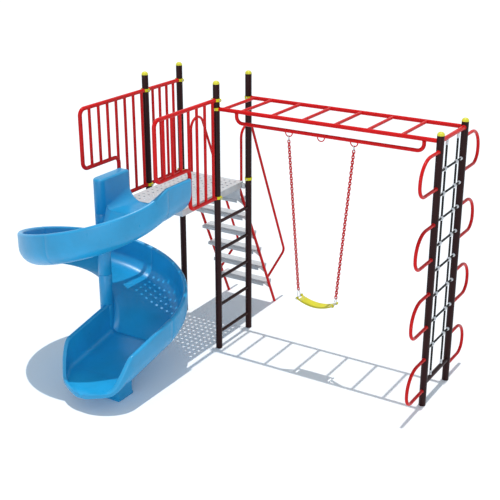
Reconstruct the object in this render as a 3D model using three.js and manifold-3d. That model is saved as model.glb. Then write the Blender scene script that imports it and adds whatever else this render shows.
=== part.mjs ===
// Play tower with a spiral slide, guards, stair, ladder, monkey bars, swing and rope-net end frame.
// Millimetres, +Z up. X runs along the monkey bars, Y from the slide's exit to the stair.
// The sizes are given from the foot of the front right tower post, and the last lines centre the whole.
import * as THREE from 'three';
import { mergeVertices } from 'three/addons/utils/BufferGeometryUtils.js';
import Module from 'manifold-3d';

const wasm = await Module();
wasm.setup();

// Driving dimensions
const towerLength = 810;
const towerWidth = 560;
const barsLength = 2180;
const deckHeight = 1580;
const guardRise = 942;
const barsDrop = 82;
const towerPostRise = 178;
const endPostRise = 80;
const postDiameter = 63.5;
const postWall = 3;
const touchGap = 0.3;

// Caps and clamps
const capWall = 3;
const capSkirt = 22;
const capDome = 38;
const clampHeight = 40;
const clampWall = 5;
const clampSplit = 2;
const clampEar = 17;
const clampEarWall = 6;

// Guards
const railDiameter = 38;
const guardFloorGap = 5;
const guardWallClear = 75;
const guardReach = 955;
const guardCutReach = 450;
const guardBend = 60;
const guardBarDiameter = 21;
const guardShortBars = 3;
const guardLongBars = 2;
const sideGuardBars = 4;

// Deck
const deckSideClear = 75;
const deckBackOverhang = 20;
const deckWall = 4;
const deckSkirt = 65;
const deckHolePitch = 98;
const deckHoleDiameter = 36;
const deckMargin = 40;
const bracketHeight = 44;
const bracketWidth = 40;
const shortPostDrop = 15;

// Fixed ladder
const ladderRungDiameter = 33;
const ladderRungs = 5;
const ladderFirstRung = 170;
const ladderTopDrop = 250;

// Stair and handrails
const stairWidth = 600;
const stairFootReach = 718;
const stairHeadInset = 34;
const stringerDiameter = 36;
const stairFirstTread = 285;
const stairTopDrop = 195;
const stairTreads = 6;
const treadDepth = 168;
const treadFold = 30;
const treadWall = 3;
const gussetWall = 5;
const gussetDrop = 95;
const handrailDiameter = 27;
const handrailFootDrop = 55;
const handrailApexRise = 20;
const handrailArch = 112;
const handrailBendReach = 922;
const handrailBendHeight = 538;
const handrailBend = 50;
const handrailFootHeight = 337;

// Monkey bars and end frame
const headerRungReach = 66;
const firstRungReach = 260;
const lastRungReach = 350;
const rungCount = 6;
const rungDiameter = 30;
const lowCrossbarHeight = 215;
const lowCrossbarDiameter = 42;

// Grip loops
const gripRows = 4;
const gripTopDrop = 85;
const gripLowHeight = 150;
const gripHeight = 315;
const gripReach = 385;
const gripUpperBendShare = 0.6;
const gripLowerBendShare = 0.35;
const gripDiameter = 27;

// Rope net
const ropeDiameter = 16;
const ropeSpacing = 255;
const netRungs = 8;
const netTopDrop = 270;
const netLowRise = 329.6;
const netPitchGrowth = 5.4;
const ferruleLength = 46;
const ferruleDiameter = 24;
const netBallDiameter = 32;
const netBallLength = 30;
const connectorDiameter = 40;
const connectorDome = 7;

// Spiral slide
const slideRadius = 773;
const slideCentreInset = 73;
const slideRunIn = 350;
const slideRimRise = 292;
const slideEntryRise = 28;
const slideEntryEase = 2;
const slideDepth = 295;
const slideFloorWall = 34;
const slideWall = 45;
const slideCorner = 130;
const slideOuterCorner = 185;
const slideHubFillet = 55;
const slideEntryCorner = 180;
const slideEntryOuterCorner = 235;
const slideEntryFillet = 150;
const slideHubDiameter = 126;
const slideHubEmbed = 30;
const slideFinRise = 3;
const slideFinRound = 22;
const slidePoleDiameter = 60;
const slidePoleWall = 3;
const slidePolePlay = 0.5;
const slideQuarters = 4;
const exitInnerReach = 9;
const exitRun = 580;
const exitNose = 305;
const exitFall = 120;
const exitLipHeight = 208;
const exitRimRise = 440;
const exitNoseDrop = 62;
const exitNoseWall = 30;
const exitLipRise = 14;
const exitNoseTurnShare = 0.9;
const exitNoseSmoothShare = 0.6;
const exitDropPower = 2;
const exitFootWidth = 165;
const exitFootLength = 215;
const exitFootOut = 490;
const exitFootWall = 12;

// Swing
const beamDrop = 105;
const beamStart = 220;
const beamEndInset = 140;
const beamDiameter = 34;
const beamBend = 60;
const swingCentre = 1087;
const swingSpread = 320;
const hangerRadius = 34;
const hangerRod = 10;
const shackleRod = 6;
const shackleLeg = 30;
const shacklePlay = 0.8;
const chainPitch = 36;
const chainWire = 8;
const chainBearing = 0.4;
const chainInnerPlay = 4;
const seatSpread = 195;
const seatHangHeight = 834;
const seatHalfSpan = 185;
const seatEndDrop = 68;
const seatSag = 46;
const seatWidth = 118;
const seatThickness = 9;
const seatHem = 24;
const seatNotchDepth = 22;
const seatNotchPlay = 8;
const seatEndNarrowShare = 0.08;
const fittingRod = 7;
const fittingWidth = 44;
const fittingPinRise = 4;
const borePlayShare = 1.15;

// Facet counts
const postSides = 12;
const tubeSides = 8;
const barSides = 6;
const bendSteps = 4;
const ringSteps = 4;
const quarterSteps = 8;
const cornerSteps = 4;
const entrySteps = 4;
const exitRunSteps = 3;
const exitNoseSteps = 8;
const seatSteps = 12;

// Values worked out from the sizes above
const postRadius = postDiameter / 2;
const clampRadius = postRadius + touchGap + clampWall;
const guardTopHeight = deckHeight + guardRise;
const guardBottomHeight = deckHeight + guardFloorGap;
const barsHeight = guardTopHeight - barsDrop;
const towerHeight = guardTopHeight + towerPostRise;
const endFrameHeight = barsHeight + endPostRise;
const slideRimHeight = deckHeight + slideRimRise;
const slideTurnDrop = slideRimHeight - exitLipHeight - exitRimRise;
const slideFinTop = slideRimHeight + slideFinRise;
const guardRaisedHeight = slideRimHeight + slideEntryRise + guardWallClear;
const clampTip = clampRadius + clampEar;
const railEnd = clampRadius + touchGap;
const guardLastBarReach = clampTip + touchGap + guardBarDiameter / 2;
const postSeat = postRadius + touchGap;
const deckTop = deckHeight;
const deckLeft = -towerLength + deckSideClear;
const deckRight = -deckSideClear;
const deckFront = -guardCutReach - railDiameter / 2 - touchGap;
const deckBack = towerWidth + deckBackOverhang;
const slideStart = deckFront - touchGap;
const slideCentreReach = slideCentreInset - towerLength;
const slideCentreY = slideStart - slideRunIn;
const lower = new THREE.Vector3(0, 0, -1);

// Colours from the painted steel and moulded plastic
const finishes = {
  maroon: { color: 0x2d1716, roughness: 0.4, metalness: 0.1 },
  red: { color: 0xd21f28, roughness: 0.35, metalness: 0.05 },
  yellow: { color: 0xeeea2b, roughness: 0.45, metalness: 0 },
  grey: { color: 0xc4c5c6, roughness: 0.6, metalness: 0.1 },
  blue: { color: 0x2f94cf, roughness: 0.4, metalness: 0 },
  black: { color: 0x1b1b1d, roughness: 0.9, metalness: 0 },
  white: { color: 0xe2e4e6, roughness: 0.5, metalness: 0 },
  zinc: { color: 0xb9bdc0, roughness: 0.35, metalness: 0.9 },
};

const playTower = new THREE.Group();

function addPiece(name, geometry, finish) {
  const mesh = new THREE.Mesh(geometry, new THREE.MeshStandardMaterial(finishes[finish]));
  mesh.name = name;
  playTower.add(mesh);
  return mesh;
}

function at(x, y, z) {
  return new THREE.Vector3(x, y, z);
}

// A mesh with shared corners, no empty triangles and its faces pointing out
function closedMesh(geometry) {
  const bare = geometry.clone();
  bare.deleteAttribute('normal');
  bare.deleteAttribute('uv');
  const welded = mergeVertices(bare);
  const position = welded.attributes.position;
  const source = welded.index.array;
  const faces = [];
  let volume = 0;
  const corner = [0, 1, 2].map(() => new THREE.Vector3());
  for (let i = 0; i < source.length; i += 3) {
    const face = [source[i], source[i + 1], source[i + 2]];
    if (new Set(face).size === 3) {
      face.forEach((vertex, k) => corner[k].fromBufferAttribute(position, vertex));
      volume += corner[0].dot(corner[1].clone().cross(corner[2]));
      faces.push(face);
    }
  }
  const turned = volume < 0 ? faces.map(([a, b, c]) => [a, c, b]) : faces;
  welded.setIndex(turned.flat());
  return welded;
}

function toSolid(geometry) {
  const mesh = closedMesh(geometry);
  return new wasm.Manifold(new wasm.Mesh({
    numProp: 3,
    vertProperties: new Float32Array(mesh.attributes.position.array),
    triVerts: new Uint32Array(mesh.index.array),
  }));
}

function fromSolid(solid) {
  const mesh = solid.getMesh();
  const geometry = new THREE.BufferGeometry();
  geometry.setAttribute('position', new THREE.BufferAttribute(new Float32Array(mesh.vertProperties), 3));
  geometry.setIndex(Array.from(mesh.triVerts));
  return geometry;
}

function fuse(geometries) {
  const solids = geometries.map(toSolid);
  return fromSolid(solids.reduce((sum, solid) => sum.add(solid)));
}

function cut(geometry, tools) {
  return fromSolid(tools.map(toSolid).reduce((rest, tool) => rest.subtract(tool), toSolid(geometry)));
}

// What is left of a piece between two heights
function between(geometry, bottom, top) {
  const span = towerHeight + barsLength;
  const keep = new THREE.BoxGeometry(2 * span, 2 * span, top - bottom);
  keep.translate(0, 0, (top + bottom) / 2);
  return fromSolid(toSolid(geometry).intersect(toSolid(keep)));
}

// A straight round bar from one point to another
function rod(from, to, diameter, sides) {
  const along = to.clone().sub(from);
  const bar = new THREE.CylinderGeometry(diameter / 2, diameter / 2, along.length(), sides);
  bar.applyQuaternion(new THREE.Quaternion().setFromUnitVectors(at(0, 1, 0), along.normalize()));
  const middle = from.clone().add(to).multiplyScalar(1 / 2);
  return bar.translate(middle.x, middle.y, middle.z);
}

// A turned piece: profile points are [radius, height], and its axis stands at (x, y)
function turned(profile, sides, x, y) {
  const points = profile.map(([radius, height]) => new THREE.Vector2(radius, height));
  const piece = new THREE.LatheGeometry(points, sides);
  piece.rotateX(Math.PI / 2);
  return closedMesh(piece).translate(x, y, 0);
}

// Points along straight runs whose inner corners are rounded to the given radii
function bentPath(corners, radii, steps = bendSteps) {
  const points = [corners[0]];
  for (let i = 1; i < corners.length - 1; i += 1) {
    const back = corners[i - 1].clone().sub(corners[i]).normalize();
    const ahead = corners[i + 1].clone().sub(corners[i]).normalize();
    const half = back.angleTo(ahead) / 2;
    const radius = Array.isArray(radii) ? radii[i - 1] : radii;
    const middle = back.clone().add(ahead).normalize().multiplyScalar(radius / Math.sin(half));
    const centre = corners[i].clone().add(middle);
    const start = corners[i].clone().addScaledVector(back, radius / Math.tan(half)).sub(centre);
    const end = corners[i].clone().addScaledVector(ahead, radius / Math.tan(half)).sub(centre);
    const sweep = Math.PI - 2 * half;
    for (let k = 0; k <= steps; k += 1) {
      const part = k / steps;
      const arm = start.clone().multiplyScalar(Math.sin((1 - part) * sweep) / Math.sin(sweep));
      arm.addScaledVector(end, Math.sin(part * sweep) / Math.sin(sweep));
      points.push(arm.add(centre));
    }
  }
  points.push(corners.at(-1));
  return points;
}

// A path that is walked point by point, so that straight runs take one step
class PointPath extends THREE.Curve {
  constructor(points) {
    super();
    this.points = points;
  }

  getPointAt(share) {
    return this.points[Math.round(share * (this.points.length - 1))].clone();
  }

  getTangentAt(share) {
    const i = Math.round(share * (this.points.length - 1));
    const before = this.points[Math.max(i - 1, 0)];
    const after = this.points[Math.min(i + 1, this.points.length - 1)];
    const into = this.points[i].clone().sub(before).normalize();
    const out = after.clone().sub(this.points[i]).normalize();
    return into.add(out).normalize();
  }
}

function roundShape(diameter, sides) {
  const shape = new THREE.Shape();
  for (let i = 0; i < sides; i += 1) {
    const angle = (i + 1 / 2) * 2 * Math.PI / sides;
    const x = Math.cos(angle) * diameter / 2;
    const y = Math.sin(angle) * diameter / 2;
    if (i === 0) {
      shape.moveTo(x, y);
    } else {
      shape.lineTo(x, y);
    }
  }
  return shape;
}

// A bent bar or tube along a list of points
function bentTube(points, diameter, sides = tubeSides) {
  return closedMesh(new THREE.ExtrudeGeometry(roundShape(diameter, sides), {
    steps: points.length - 1,
    extrudePath: new PointPath(points),
    bevelEnabled: false,
  }));
}

function capFaces(ring, first, turnedOver) {
  const normal = new THREE.Vector3();
  ring.forEach((point, i) => normal.add(point.clone().cross(ring[(i + 1) % ring.length])));
  normal.normalize();
  const across = ring[1].clone().sub(ring[0]);
  across.addScaledVector(normal, -across.dot(normal)).normalize();
  const up = normal.clone().cross(across);
  const flat = ring.map((point) => new THREE.Vector2(point.dot(across), point.dot(up)));
  return THREE.ShapeUtils.triangulateShape(flat, []).flatMap(([a, b, c]) => {
    const leftTurn = flat[b].clone().sub(flat[a]).cross(flat[c].clone().sub(flat[a])) > 0;
    return leftTurn === turnedOver ? [first + a, first + c, first + b] : [first + a, first + b, first + c];
  });
}

// A solid through rings of equally many points, either end to end or closed on itself
function loft(rings, closed = false) {
  const count = rings[0].length;
  const indices = [];
  const spans = closed ? rings.length : rings.length - 1;
  for (let i = 0; i < spans; i += 1) {
    const next = (i + 1) % rings.length;
    for (let j = 0; j < count; j += 1) {
      const k = (j + 1) % count;
      indices.push(i * count + j, i * count + k, next * count + k);
      indices.push(i * count + j, next * count + k, next * count + j);
    }
  }
  if (!closed) {
    indices.push(...capFaces(rings[0], 0, true));
    indices.push(...capFaces(rings.at(-1), (rings.length - 1) * count, false));
  }
  const geometry = new THREE.BufferGeometry();
  const positions = rings.flat().flatMap((point) => point.toArray());
  geometry.setAttribute('position', new THREE.Float32BufferAttribute(positions, 3));
  geometry.setIndex(indices);
  return closedMesh(geometry);
}

// A closed ring of wire through corners in one plane, mitred so that its faces stay straight
function wireRing(corners, wire, sides) {
  const middle = Math.floor(corners.length / 2);
  const normal = corners[0].clone().sub(corners[1]).cross(corners[middle].clone().sub(corners[1])).normalize();
  const reach = wire / 2 / Math.cos(Math.PI / sides);
  const rings = corners.map((corner, i) => {
    const into = corner.clone().sub(corners.at(i - 1)).normalize();
    const out = corners[(i + 1) % corners.length].clone().sub(corner).normalize();
    const along = into.clone().add(out).normalize();
    const side = normal.clone().cross(along);
    const mitre = 1 / into.dot(along);
    return Array.from({ length: sides }, (_, k) => {
      const angle = (k + 1 / 2) * 2 * Math.PI / sides;
      return corner.clone()
        .addScaledVector(side, Math.cos(angle) * reach * mitre)
        .addScaledVector(normal, Math.sin(angle) * reach);
    });
  });
  return loft(rings, true);
}

// Posts, caps and clamps
// The front left post stands over the slide's last turn, so it is short and hangs from the deck
const shortPostFoot = deckHeight - deckSkirt - shortPostDrop;
const posts = {
  tower_post_front_left: { x: -towerLength, y: 0, foot: shortPostFoot, height: towerHeight },
  tower_post_back_left: { x: -towerLength, y: towerWidth, foot: 0, height: towerHeight },
  tower_post_front_right: { x: 0, y: 0, foot: 0, height: towerHeight },
  tower_post_back_right: { x: 0, y: towerWidth, foot: 0, height: towerHeight },
  end_post_front: { x: barsLength, y: 0, foot: 0, height: endFrameHeight },
  end_post_back: { x: barsLength, y: towerWidth, foot: 0, height: endFrameHeight },
};

function tube(x, y, bottom, top, diameter, wall, sides) {
  const outer = diameter / 2;
  const inner = outer - wall;
  return turned([[inner, bottom], [outer, bottom], [outer, top], [inner, top], [inner, bottom]], sides, x, y);
}

function postCap({ x, y, height }) {
  const crown = height - capDome;
  const inner = postSeat;
  const outer = postSeat + capWall;
  const shoulder = Math.PI / 5;
  return turned([
    [0, crown + touchGap],
    [inner, crown + touchGap],
    [inner, crown - capSkirt],
    [outer, crown - capSkirt],
    [outer, crown],
    [outer * Math.cos(shoulder), crown + capDome * Math.sin(shoulder)],
    [outer * Math.cos(2 * shoulder), crown + capDome * Math.sin(2 * shoulder)],
    [0, height],
  ], postSides, x, y);
}

// A clamp of two bolted halves, drawn shut: a ring with a pair of ears on each side
function clamp(post, height, turn) {
  const face = clampEarWall + clampSplit / 2;
  const start = Math.asin(face / clampRadius);
  const shape = new THREE.Shape();
  shape.moveTo(clampTip, -face);
  shape.lineTo(clampTip, face);
  shape.absarc(0, 0, clampRadius, start, Math.PI - start, false);
  shape.lineTo(-clampTip, face);
  shape.lineTo(-clampTip, -face);
  shape.absarc(0, 0, clampRadius, Math.PI + start, 2 * Math.PI - start, false);
  const bore = new THREE.Path();
  bore.absarc(0, 0, postSeat, 0, 2 * Math.PI, true);
  shape.holes.push(bore);
  const ring = new THREE.ExtrudeGeometry(shape, {
    depth: clampHeight,
    bevelEnabled: false,
    curveSegments: postSides / 2,
  });
  ring.rotateZ(turn);
  return closedMesh(ring).translate(post.x, post.y, height - clampHeight / 2);
}

const earsAcross = 0;
const earsAlong = Math.PI / 2;
const stairClampHeight = guardBottomHeight + clampHeight + touchGap;
const clamps = {
  guard_clamp_front_left_top: ['tower_post_front_left', guardTopHeight, earsAcross],
  guard_clamp_front_left_low: ['tower_post_front_left', guardBottomHeight, earsAcross],
  guard_clamp_back_left_top: ['tower_post_back_left', guardTopHeight, earsAcross],
  guard_clamp_back_left_low: ['tower_post_back_left', guardBottomHeight, earsAcross],
  guard_clamp_front_right_top: ['tower_post_front_right', guardTopHeight, earsAcross],
  guard_clamp_front_right_low: ['tower_post_front_right', guardBottomHeight, earsAcross],
  bar_clamp_front: ['tower_post_front_right', barsHeight, earsAlong],
  bar_clamp_back: ['tower_post_back_right', barsHeight, earsAlong],
  deck_clamp_back_right: ['tower_post_back_right', stairClampHeight, earsAlong],
};

// The ladder's rungs are welded to the front right post, and the crossbars to the back end post
function postTube(name) {
  const { x, y, foot, height } = posts[name];
  const plain = tube(x, y, foot, height - capDome, postDiameter, postWall, postSides);
  const weld = postRadius - postWall / 2;
  if (name === 'tower_post_front_right') {
    const ladderPitch = (deckHeight - ladderTopDrop - ladderFirstRung) / (ladderRungs - 1);
    const rungs = Array.from({ length: ladderRungs }, (_, i) => {
      const z = ladderFirstRung + i * ladderPitch;
      return rod(at(x, weld, z), at(x, towerWidth - postSeat, z), ladderRungDiameter, tubeSides);
    });
    return fuse([plain, ...rungs]);
  }
  if (name === 'end_post_back') {
    const bars = [[barsHeight, railDiameter], [lowCrossbarHeight, lowCrossbarDiameter]].map(([z, diameter]) => (
      rod(at(x, postSeat, z), at(x, towerWidth - weld, z), diameter, tubeSides)
    ));
    return fuse([plain, ...bars]);
  }
  return plain;
}

function addPosts() {
  Object.entries(posts).forEach(([name, post]) => {
    addPiece(name, postTube(name), 'maroon');
    addPiece(name.replace('post', 'cap'), postCap(post), 'yellow');
  });
  Object.entries(clamps).forEach(([name, [post, height, turn]]) => {
    addPiece(name, clamp(posts[post], height, turn), 'yellow');
  });
}

// Guards: a bent frame with its cut corner over the slide's wall, and upright bars
function slideGuard(x) {
  const frame = bentPath([
    at(x, -railEnd, guardTopHeight),
    at(x, -guardReach, guardTopHeight),
    at(x, -guardReach, guardRaisedHeight),
    at(x, -guardCutReach, guardRaisedHeight),
    at(x, -guardCutReach, guardBottomHeight),
    at(x, -railEnd, guardBottomHeight),
  ], guardBend);
  const bars = [];
  for (let i = 1; i <= guardShortBars; i += 1) {
    const y = guardCutReach + (guardReach - guardCutReach) * i / (guardShortBars + 1);
    bars.push(rod(at(x, -y, guardRaisedHeight), at(x, -y, guardTopHeight), guardBarDiameter, barSides));
  }
  bars.push(rod(
    at(x, -guardCutReach, guardRaisedHeight - guardBend),
    at(x, -guardCutReach, guardTopHeight),
    guardBarDiameter,
    barSides,
  ));
  for (let i = 0; i <= guardLongBars; i += 1) {
    const y = guardLastBarReach + (guardCutReach - guardLastBarReach) * i / (guardLongBars + 1);
    bars.push(rod(at(x, -y, guardBottomHeight), at(x, -y, guardTopHeight), guardBarDiameter, barSides));
  }
  return fuse([bentTube(frame, railDiameter), ...bars]);
}

function sideGuard() {
  const x = -towerLength;
  const heights = [guardTopHeight, guardBottomHeight];
  const rails = heights.map((z) => rod(
    at(x, railEnd, z),
    at(x, towerWidth - railEnd, z),
    railDiameter,
    tubeSides,
  ));
  const bars = Array.from({ length: sideGuardBars }, (_, i) => {
    const y = towerWidth * (i + 1) / (sideGuardBars + 1);
    return rod(at(x, y, guardBottomHeight), at(x, y, guardTopHeight), guardBarDiameter, barSides);
  });
  return fuse([...rails, ...bars]);
}

// Deck: a folded tray with staggered round holes
function deckTray() {
  const width = deckRight - deckLeft;
  const length = deckBack - deckFront;
  const outline = (inset, maker) => {
    const edge = new maker();
    edge.moveTo(deckLeft + inset, deckFront + inset);
    edge.lineTo(deckRight - inset, deckFront + inset);
    edge.lineTo(deckRight - inset, deckBack - inset);
    edge.lineTo(deckLeft + inset, deckBack - inset);
    edge.closePath();
    return edge;
  };
  const top = outline(0, THREE.Shape);
  const rowPitch = deckHolePitch * Math.sqrt(3) / 2;
  const rows = Math.floor((length - 2 * deckMargin) / rowPitch) + 1;
  const columns = Math.floor((width - 2 * deckMargin) / deckHolePitch) + 1;
  for (let row = 0; row < rows; row += 1) {
    const inRow = columns - row % 2;
    for (let i = 0; i < inRow; i += 1) {
      const x = (deckLeft + deckRight) / 2 + (i - (inRow - 1) / 2) * deckHolePitch;
      const y = (deckFront + deckBack) / 2 + (row - (rows - 1) / 2) * rowPitch;
      const hole = roundShape(deckHoleDiameter, barSides).getPoints().map((point) => point.add(
        new THREE.Vector2(x, y),
      ));
      top.holes.push(new THREE.Path(hole));
    }
  }
  const plate = new THREE.ExtrudeGeometry(top, { depth: deckWall, bevelEnabled: false });
  plate.translate(0, 0, deckTop - deckWall);
  const fold = outline(0, THREE.Shape);
  fold.holes.push(outline(deckWall, THREE.Path));
  const skirt = new THREE.ExtrudeGeometry(fold, { depth: deckSkirt - deckWall / 2, bevelEnabled: false });
  skirt.translate(0, 0, deckTop - deckSkirt);
  return fuse([plate, skirt, ...deckLugs()]);
}

// Lugs from the deck's sides to the posts, hollowed to the posts' round
function deckLugs() {
  const top = guardBottomHeight - clampHeight / 2 - clampWall;
  return [-towerLength, 0].flatMap((x) => [0, towerWidth].map((y) => {
    const side = x < 0 ? 1 : -1;
    const length = deckSideClear + deckWall / 2;
    const block = new THREE.BoxGeometry(length, bracketWidth, bracketHeight);
    block.translate(x + side * length / 2, y, top - bracketHeight / 2);
    return cut(block, [rod(at(x, y, 0), at(x, y, deckTop), postDiameter + 2 * touchGap, postSides)]);
  }));
}

// Stair: the stringer's centre line gives the place of every tread
const stairMiddle = (deckLeft + deckRight) / 2;
const stringerTop = deckTop - deckWall - touchGap;
const stairFoot = towerWidth + stairFootReach;
const stairHead = towerWidth - stairHeadInset;
const stairRise = (deckHeight - stairTopDrop - stairFirstTread) / (stairTreads - 1);

function stairLine(z) {
  return stairFoot + (stairHead - stairFoot) * z / stringerTop;
}

function stringer(side) {
  const x = stairMiddle + side * stairWidth / 2;
  const above = stringerTop + stringerDiameter;
  const bar = rod(
    at(x, stairLine(-stringerDiameter), -stringerDiameter),
    at(x, stairLine(above), above),
    stringerDiameter,
    tubeSides,
  );
  return fuse([between(bar, 0, stringerTop), ...gussets(side)]);
}

function tread(step) {
  const top = stairFirstTread + step * stairRise;
  const length = stairWidth - stringerDiameter - 2 * touchGap;
  const half = treadDepth / 2;
  const fold = new THREE.Shape([
    new THREE.Vector2(-half, -treadFold),
    new THREE.Vector2(-half, 0),
    new THREE.Vector2(half, 0),
    new THREE.Vector2(half, -treadFold),
    new THREE.Vector2(half - treadWall, -treadFold),
    new THREE.Vector2(half - treadWall, -treadWall),
    new THREE.Vector2(-half + treadWall, -treadWall),
    new THREE.Vector2(-half + treadWall, -treadFold),
  ]);
  const plate = new THREE.ExtrudeGeometry(fold, { depth: length, bevelEnabled: false });
  plate.rotateX(Math.PI / 2);
  plate.rotateZ(Math.PI / 2);
  return plate.translate(stairMiddle - length / 2, stairLine(top), top);
}

// Triangular plates under the tread ends, welded to the stringer's inner side
function gussets(side) {
  const near = stringerDiameter / 2 - gussetWall / 2;
  const reach = treadDepth / 2 - treadWall - touchGap;
  return Array.from({ length: stairTreads }, (_, step) => {
    const top = stairFirstTread + step * stairRise - treadWall - touchGap;
    const middle = stairLine(top);
    const shape = new THREE.Shape([
      new THREE.Vector2(middle - reach, top),
      new THREE.Vector2(middle + reach, top),
      new THREE.Vector2(stairLine(top - gussetDrop), top - gussetDrop),
    ]);
    const plate = new THREE.ExtrudeGeometry(shape, { depth: gussetWall, bevelEnabled: false });
    plate.rotateX(Math.PI / 2);
    plate.rotateZ(Math.PI / 2);
    const inner = stairMiddle + side * (stairWidth / 2 - near);
    return plate.translate(inner - gussetWall / 2, 0, 0);
  });
}

function handrail(side) {
  const x = stairMiddle + side * stairWidth / 2;
  const upright = deckBack + touchGap + handrailDiameter / 2 * Math.cos(Math.PI / tubeSides);
  const bend = at(x, towerWidth + handrailBendReach, handrailBendHeight);
  const joint = at(x, stairLine(handrailFootHeight), handrailFootHeight);
  const bar = bentTube(bentPath([
    at(x, upright, deckTop - handrailFootDrop),
    at(x, upright, guardTopHeight + handrailApexRise),
    bend,
    joint,
  ], [handrailArch, handrailBend], bendSteps + 2), handrailDiameter);
  const cope = rod(
    at(x, stairLine(0), 0),
    at(x, stairLine(2 * handrailFootHeight), 2 * handrailFootHeight),
    stringerDiameter + 2 * touchGap,
    tubeSides,
  );
  return cut(bar, [cope]);
}

// Monkey bars: two rails with rungs welded between them
function monkeyBars() {
  const rails = [0, towerWidth].map((y) => rod(
    at(railEnd, y, barsHeight),
    at(barsLength - postSeat, y, barsHeight),
    railDiameter,
    tubeSides,
  ));
  const places = [headerRungReach];
  const rungPitch = (barsLength - firstRungReach - lastRungReach) / (rungCount - 1);
  for (let i = 0; i < rungCount; i += 1) {
    places.push(firstRungReach + i * rungPitch);
  }
  const rungs = places.map((x) => rod(
    at(x, 0, barsHeight),
    at(x, towerWidth, barsHeight),
    rungDiameter,
    tubeSides,
  ));
  return fuse([...rails, ...rungs]);
}

// End frame: grip loops and the rope net
const netMiddle = towerWidth / 2;
const ropePlaces = [netMiddle - ropeSpacing / 2, netMiddle + ropeSpacing / 2];
const netTopRung = barsHeight - netTopDrop;
const netLowRung = lowCrossbarHeight + netLowRise;
const netFirstPitch = (netTopRung - netLowRung) / (netRungs - 1) - netPitchGrowth * (netRungs - 2) / 2;
const netRungHeights = Array.from({ length: netRungs }, (_, i) => (
  netTopRung - i * netFirstPitch - netPitchGrowth * i * (i - 1) / 2
));
const ropeTop = barsHeight - railDiameter / 2 - touchGap - ferruleLength;
const ropeBottom = lowCrossbarHeight + lowCrossbarDiameter / 2 + touchGap + ferruleLength;

function gripLoop(y, side, row) {
  const highest = barsHeight - gripTopDrop;
  const gripPitch = (highest - gripHeight - gripLowHeight) / (gripRows - 1);
  const top = highest - row * gripPitch;
  const bottom = top - gripHeight;
  return bentTube(bentPath([
    at(barsLength, y + side * postSeat, top),
    at(barsLength, y + side * gripReach, top),
    at(barsLength, y + side * gripReach, bottom),
    at(barsLength, y + side * postSeat, bottom),
  ], [gripHeight * gripUpperBendShare, gripHeight * gripLowerBendShare]), gripDiameter, barSides);
}

// Upright ropes and rope rungs drawn tight, with the clips, balls and ferrules pressed onto them
function ropeNet() {
  const uprights = ropePlaces.map((y) => rod(
    at(barsLength, y, ropeBottom - ferruleLength / 2),
    at(barsLength, y, ropeTop + ferruleLength / 2),
    ropeDiameter,
    barSides,
  ));
  const rungs = netRungHeights.map((z) => rod(
    at(barsLength, postSeat + netBallLength / 2, z),
    at(barsLength, towerWidth - postSeat - netBallLength / 2, z),
    ropeDiameter,
    barSides,
  ));
  return fuse([...uprights, ...rungs, ...netClips(), ...netBalls(), ...ropeFerrules()]);
}

// A round clip on both sides of each crossing
function netClips() {
  const radius = connectorDiameter / 2;
  const reach = ropeDiameter / 2 + connectorDome;
  const clip = new THREE.LatheGeometry([
    new THREE.Vector2(0, -reach),
    new THREE.Vector2(radius, -reach),
    new THREE.Vector2(radius, reach),
    new THREE.Vector2(0, reach),
  ], barSides);
  clip.rotateZ(-Math.PI / 2);
  return netRungHeights.flatMap((z) => ropePlaces.map((y) => clip.clone().translate(barsLength, y, z)));
}

function netBalls() {
  const radius = netBallDiameter / 2;
  const ball = new THREE.LatheGeometry([
    new THREE.Vector2(0, 0),
    new THREE.Vector2(radius, netBallLength / 3),
    new THREE.Vector2(radius, netBallLength * 2 / 3),
    new THREE.Vector2(0, netBallLength),
  ], barSides);
  return netRungHeights.flatMap((z) => [
    ball.clone().translate(barsLength, postSeat, z),
    ball.clone().rotateZ(Math.PI).translate(barsLength, towerWidth - postSeat, z),
  ]);
}

function ropeFerrules() {
  return ropePlaces.flatMap((y) => [
    rod(at(barsLength, y, ropeTop), at(barsLength, y, ropeTop + ferruleLength), ferruleDiameter, tubeSides),
    rod(at(barsLength, y, ropeBottom - ferruleLength), at(barsLength, y, ropeBottom), ferruleDiameter, tubeSides),
  ]);
}

// Slide section outline as [out, up] points; out is measured from the slide's centre line
function arcPoints(out, up, radius, from, to, steps) {
  return Array.from({ length: steps + 1 }, (_, i) => {
    const angle = from + (to - from) * i / steps;
    return [out + radius * Math.cos(angle), up + radius * Math.sin(angle)];
  });
}

const quarter = Math.PI / 2;
const cornerRoomShare = 0.55;
const outerRoomShare = 0.66;
const turnCorners = { corner: slideCorner, outerCorner: slideOuterCorner, fillet: slideHubFillet };

// Runs from nought to one and starts and ends without a kink
function easeShare(share) {
  const held = Math.min(Math.max(share, 0), 1);
  return held * held * (3 - 2 * held);
}

function outerWall({ out, rim, floor, underside, corner, outerCorner, wall }) {
  const round = Math.min(wall / 2, (rim - floor) / 3);
  return [
    ...arcPoints(out - wall - corner, floor + corner, corner, -quarter, 0, cornerSteps),
    ...arcPoints(out - wall + round, rim - round, round, 2 * quarter, quarter, 2),
    ...arcPoints(out - round, rim - round, round, quarter, 0, 2),
    ...arcPoints(out - outerCorner, underside + outerCorner, outerCorner, 0, -quarter, cornerSteps),
  ];
}

// A quarter turn: floor and outer wall, open at the inside where the hub carries it
function turnOutline(level, rise) {
  const rim = level + rise;
  const floor = level - slideDepth;
  const underside = floor - slideFloorWall;
  const start = slideHubDiameter / 2 - slideHubEmbed;
  return [
    [start, underside],
    [start, floor + slideHubFillet],
    ...arcPoints(slideHubDiameter / 2 + slideHubFillet, floor + slideHubFillet, slideHubFillet,
      2 * quarter, 3 * quarter, 3),
    ...outerWall({
      out: slideRadius, rim, floor, underside, corner: slideCorner, outerCorner: slideOuterCorner,
      wall: slideWall,
    }),
  ];
}

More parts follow.
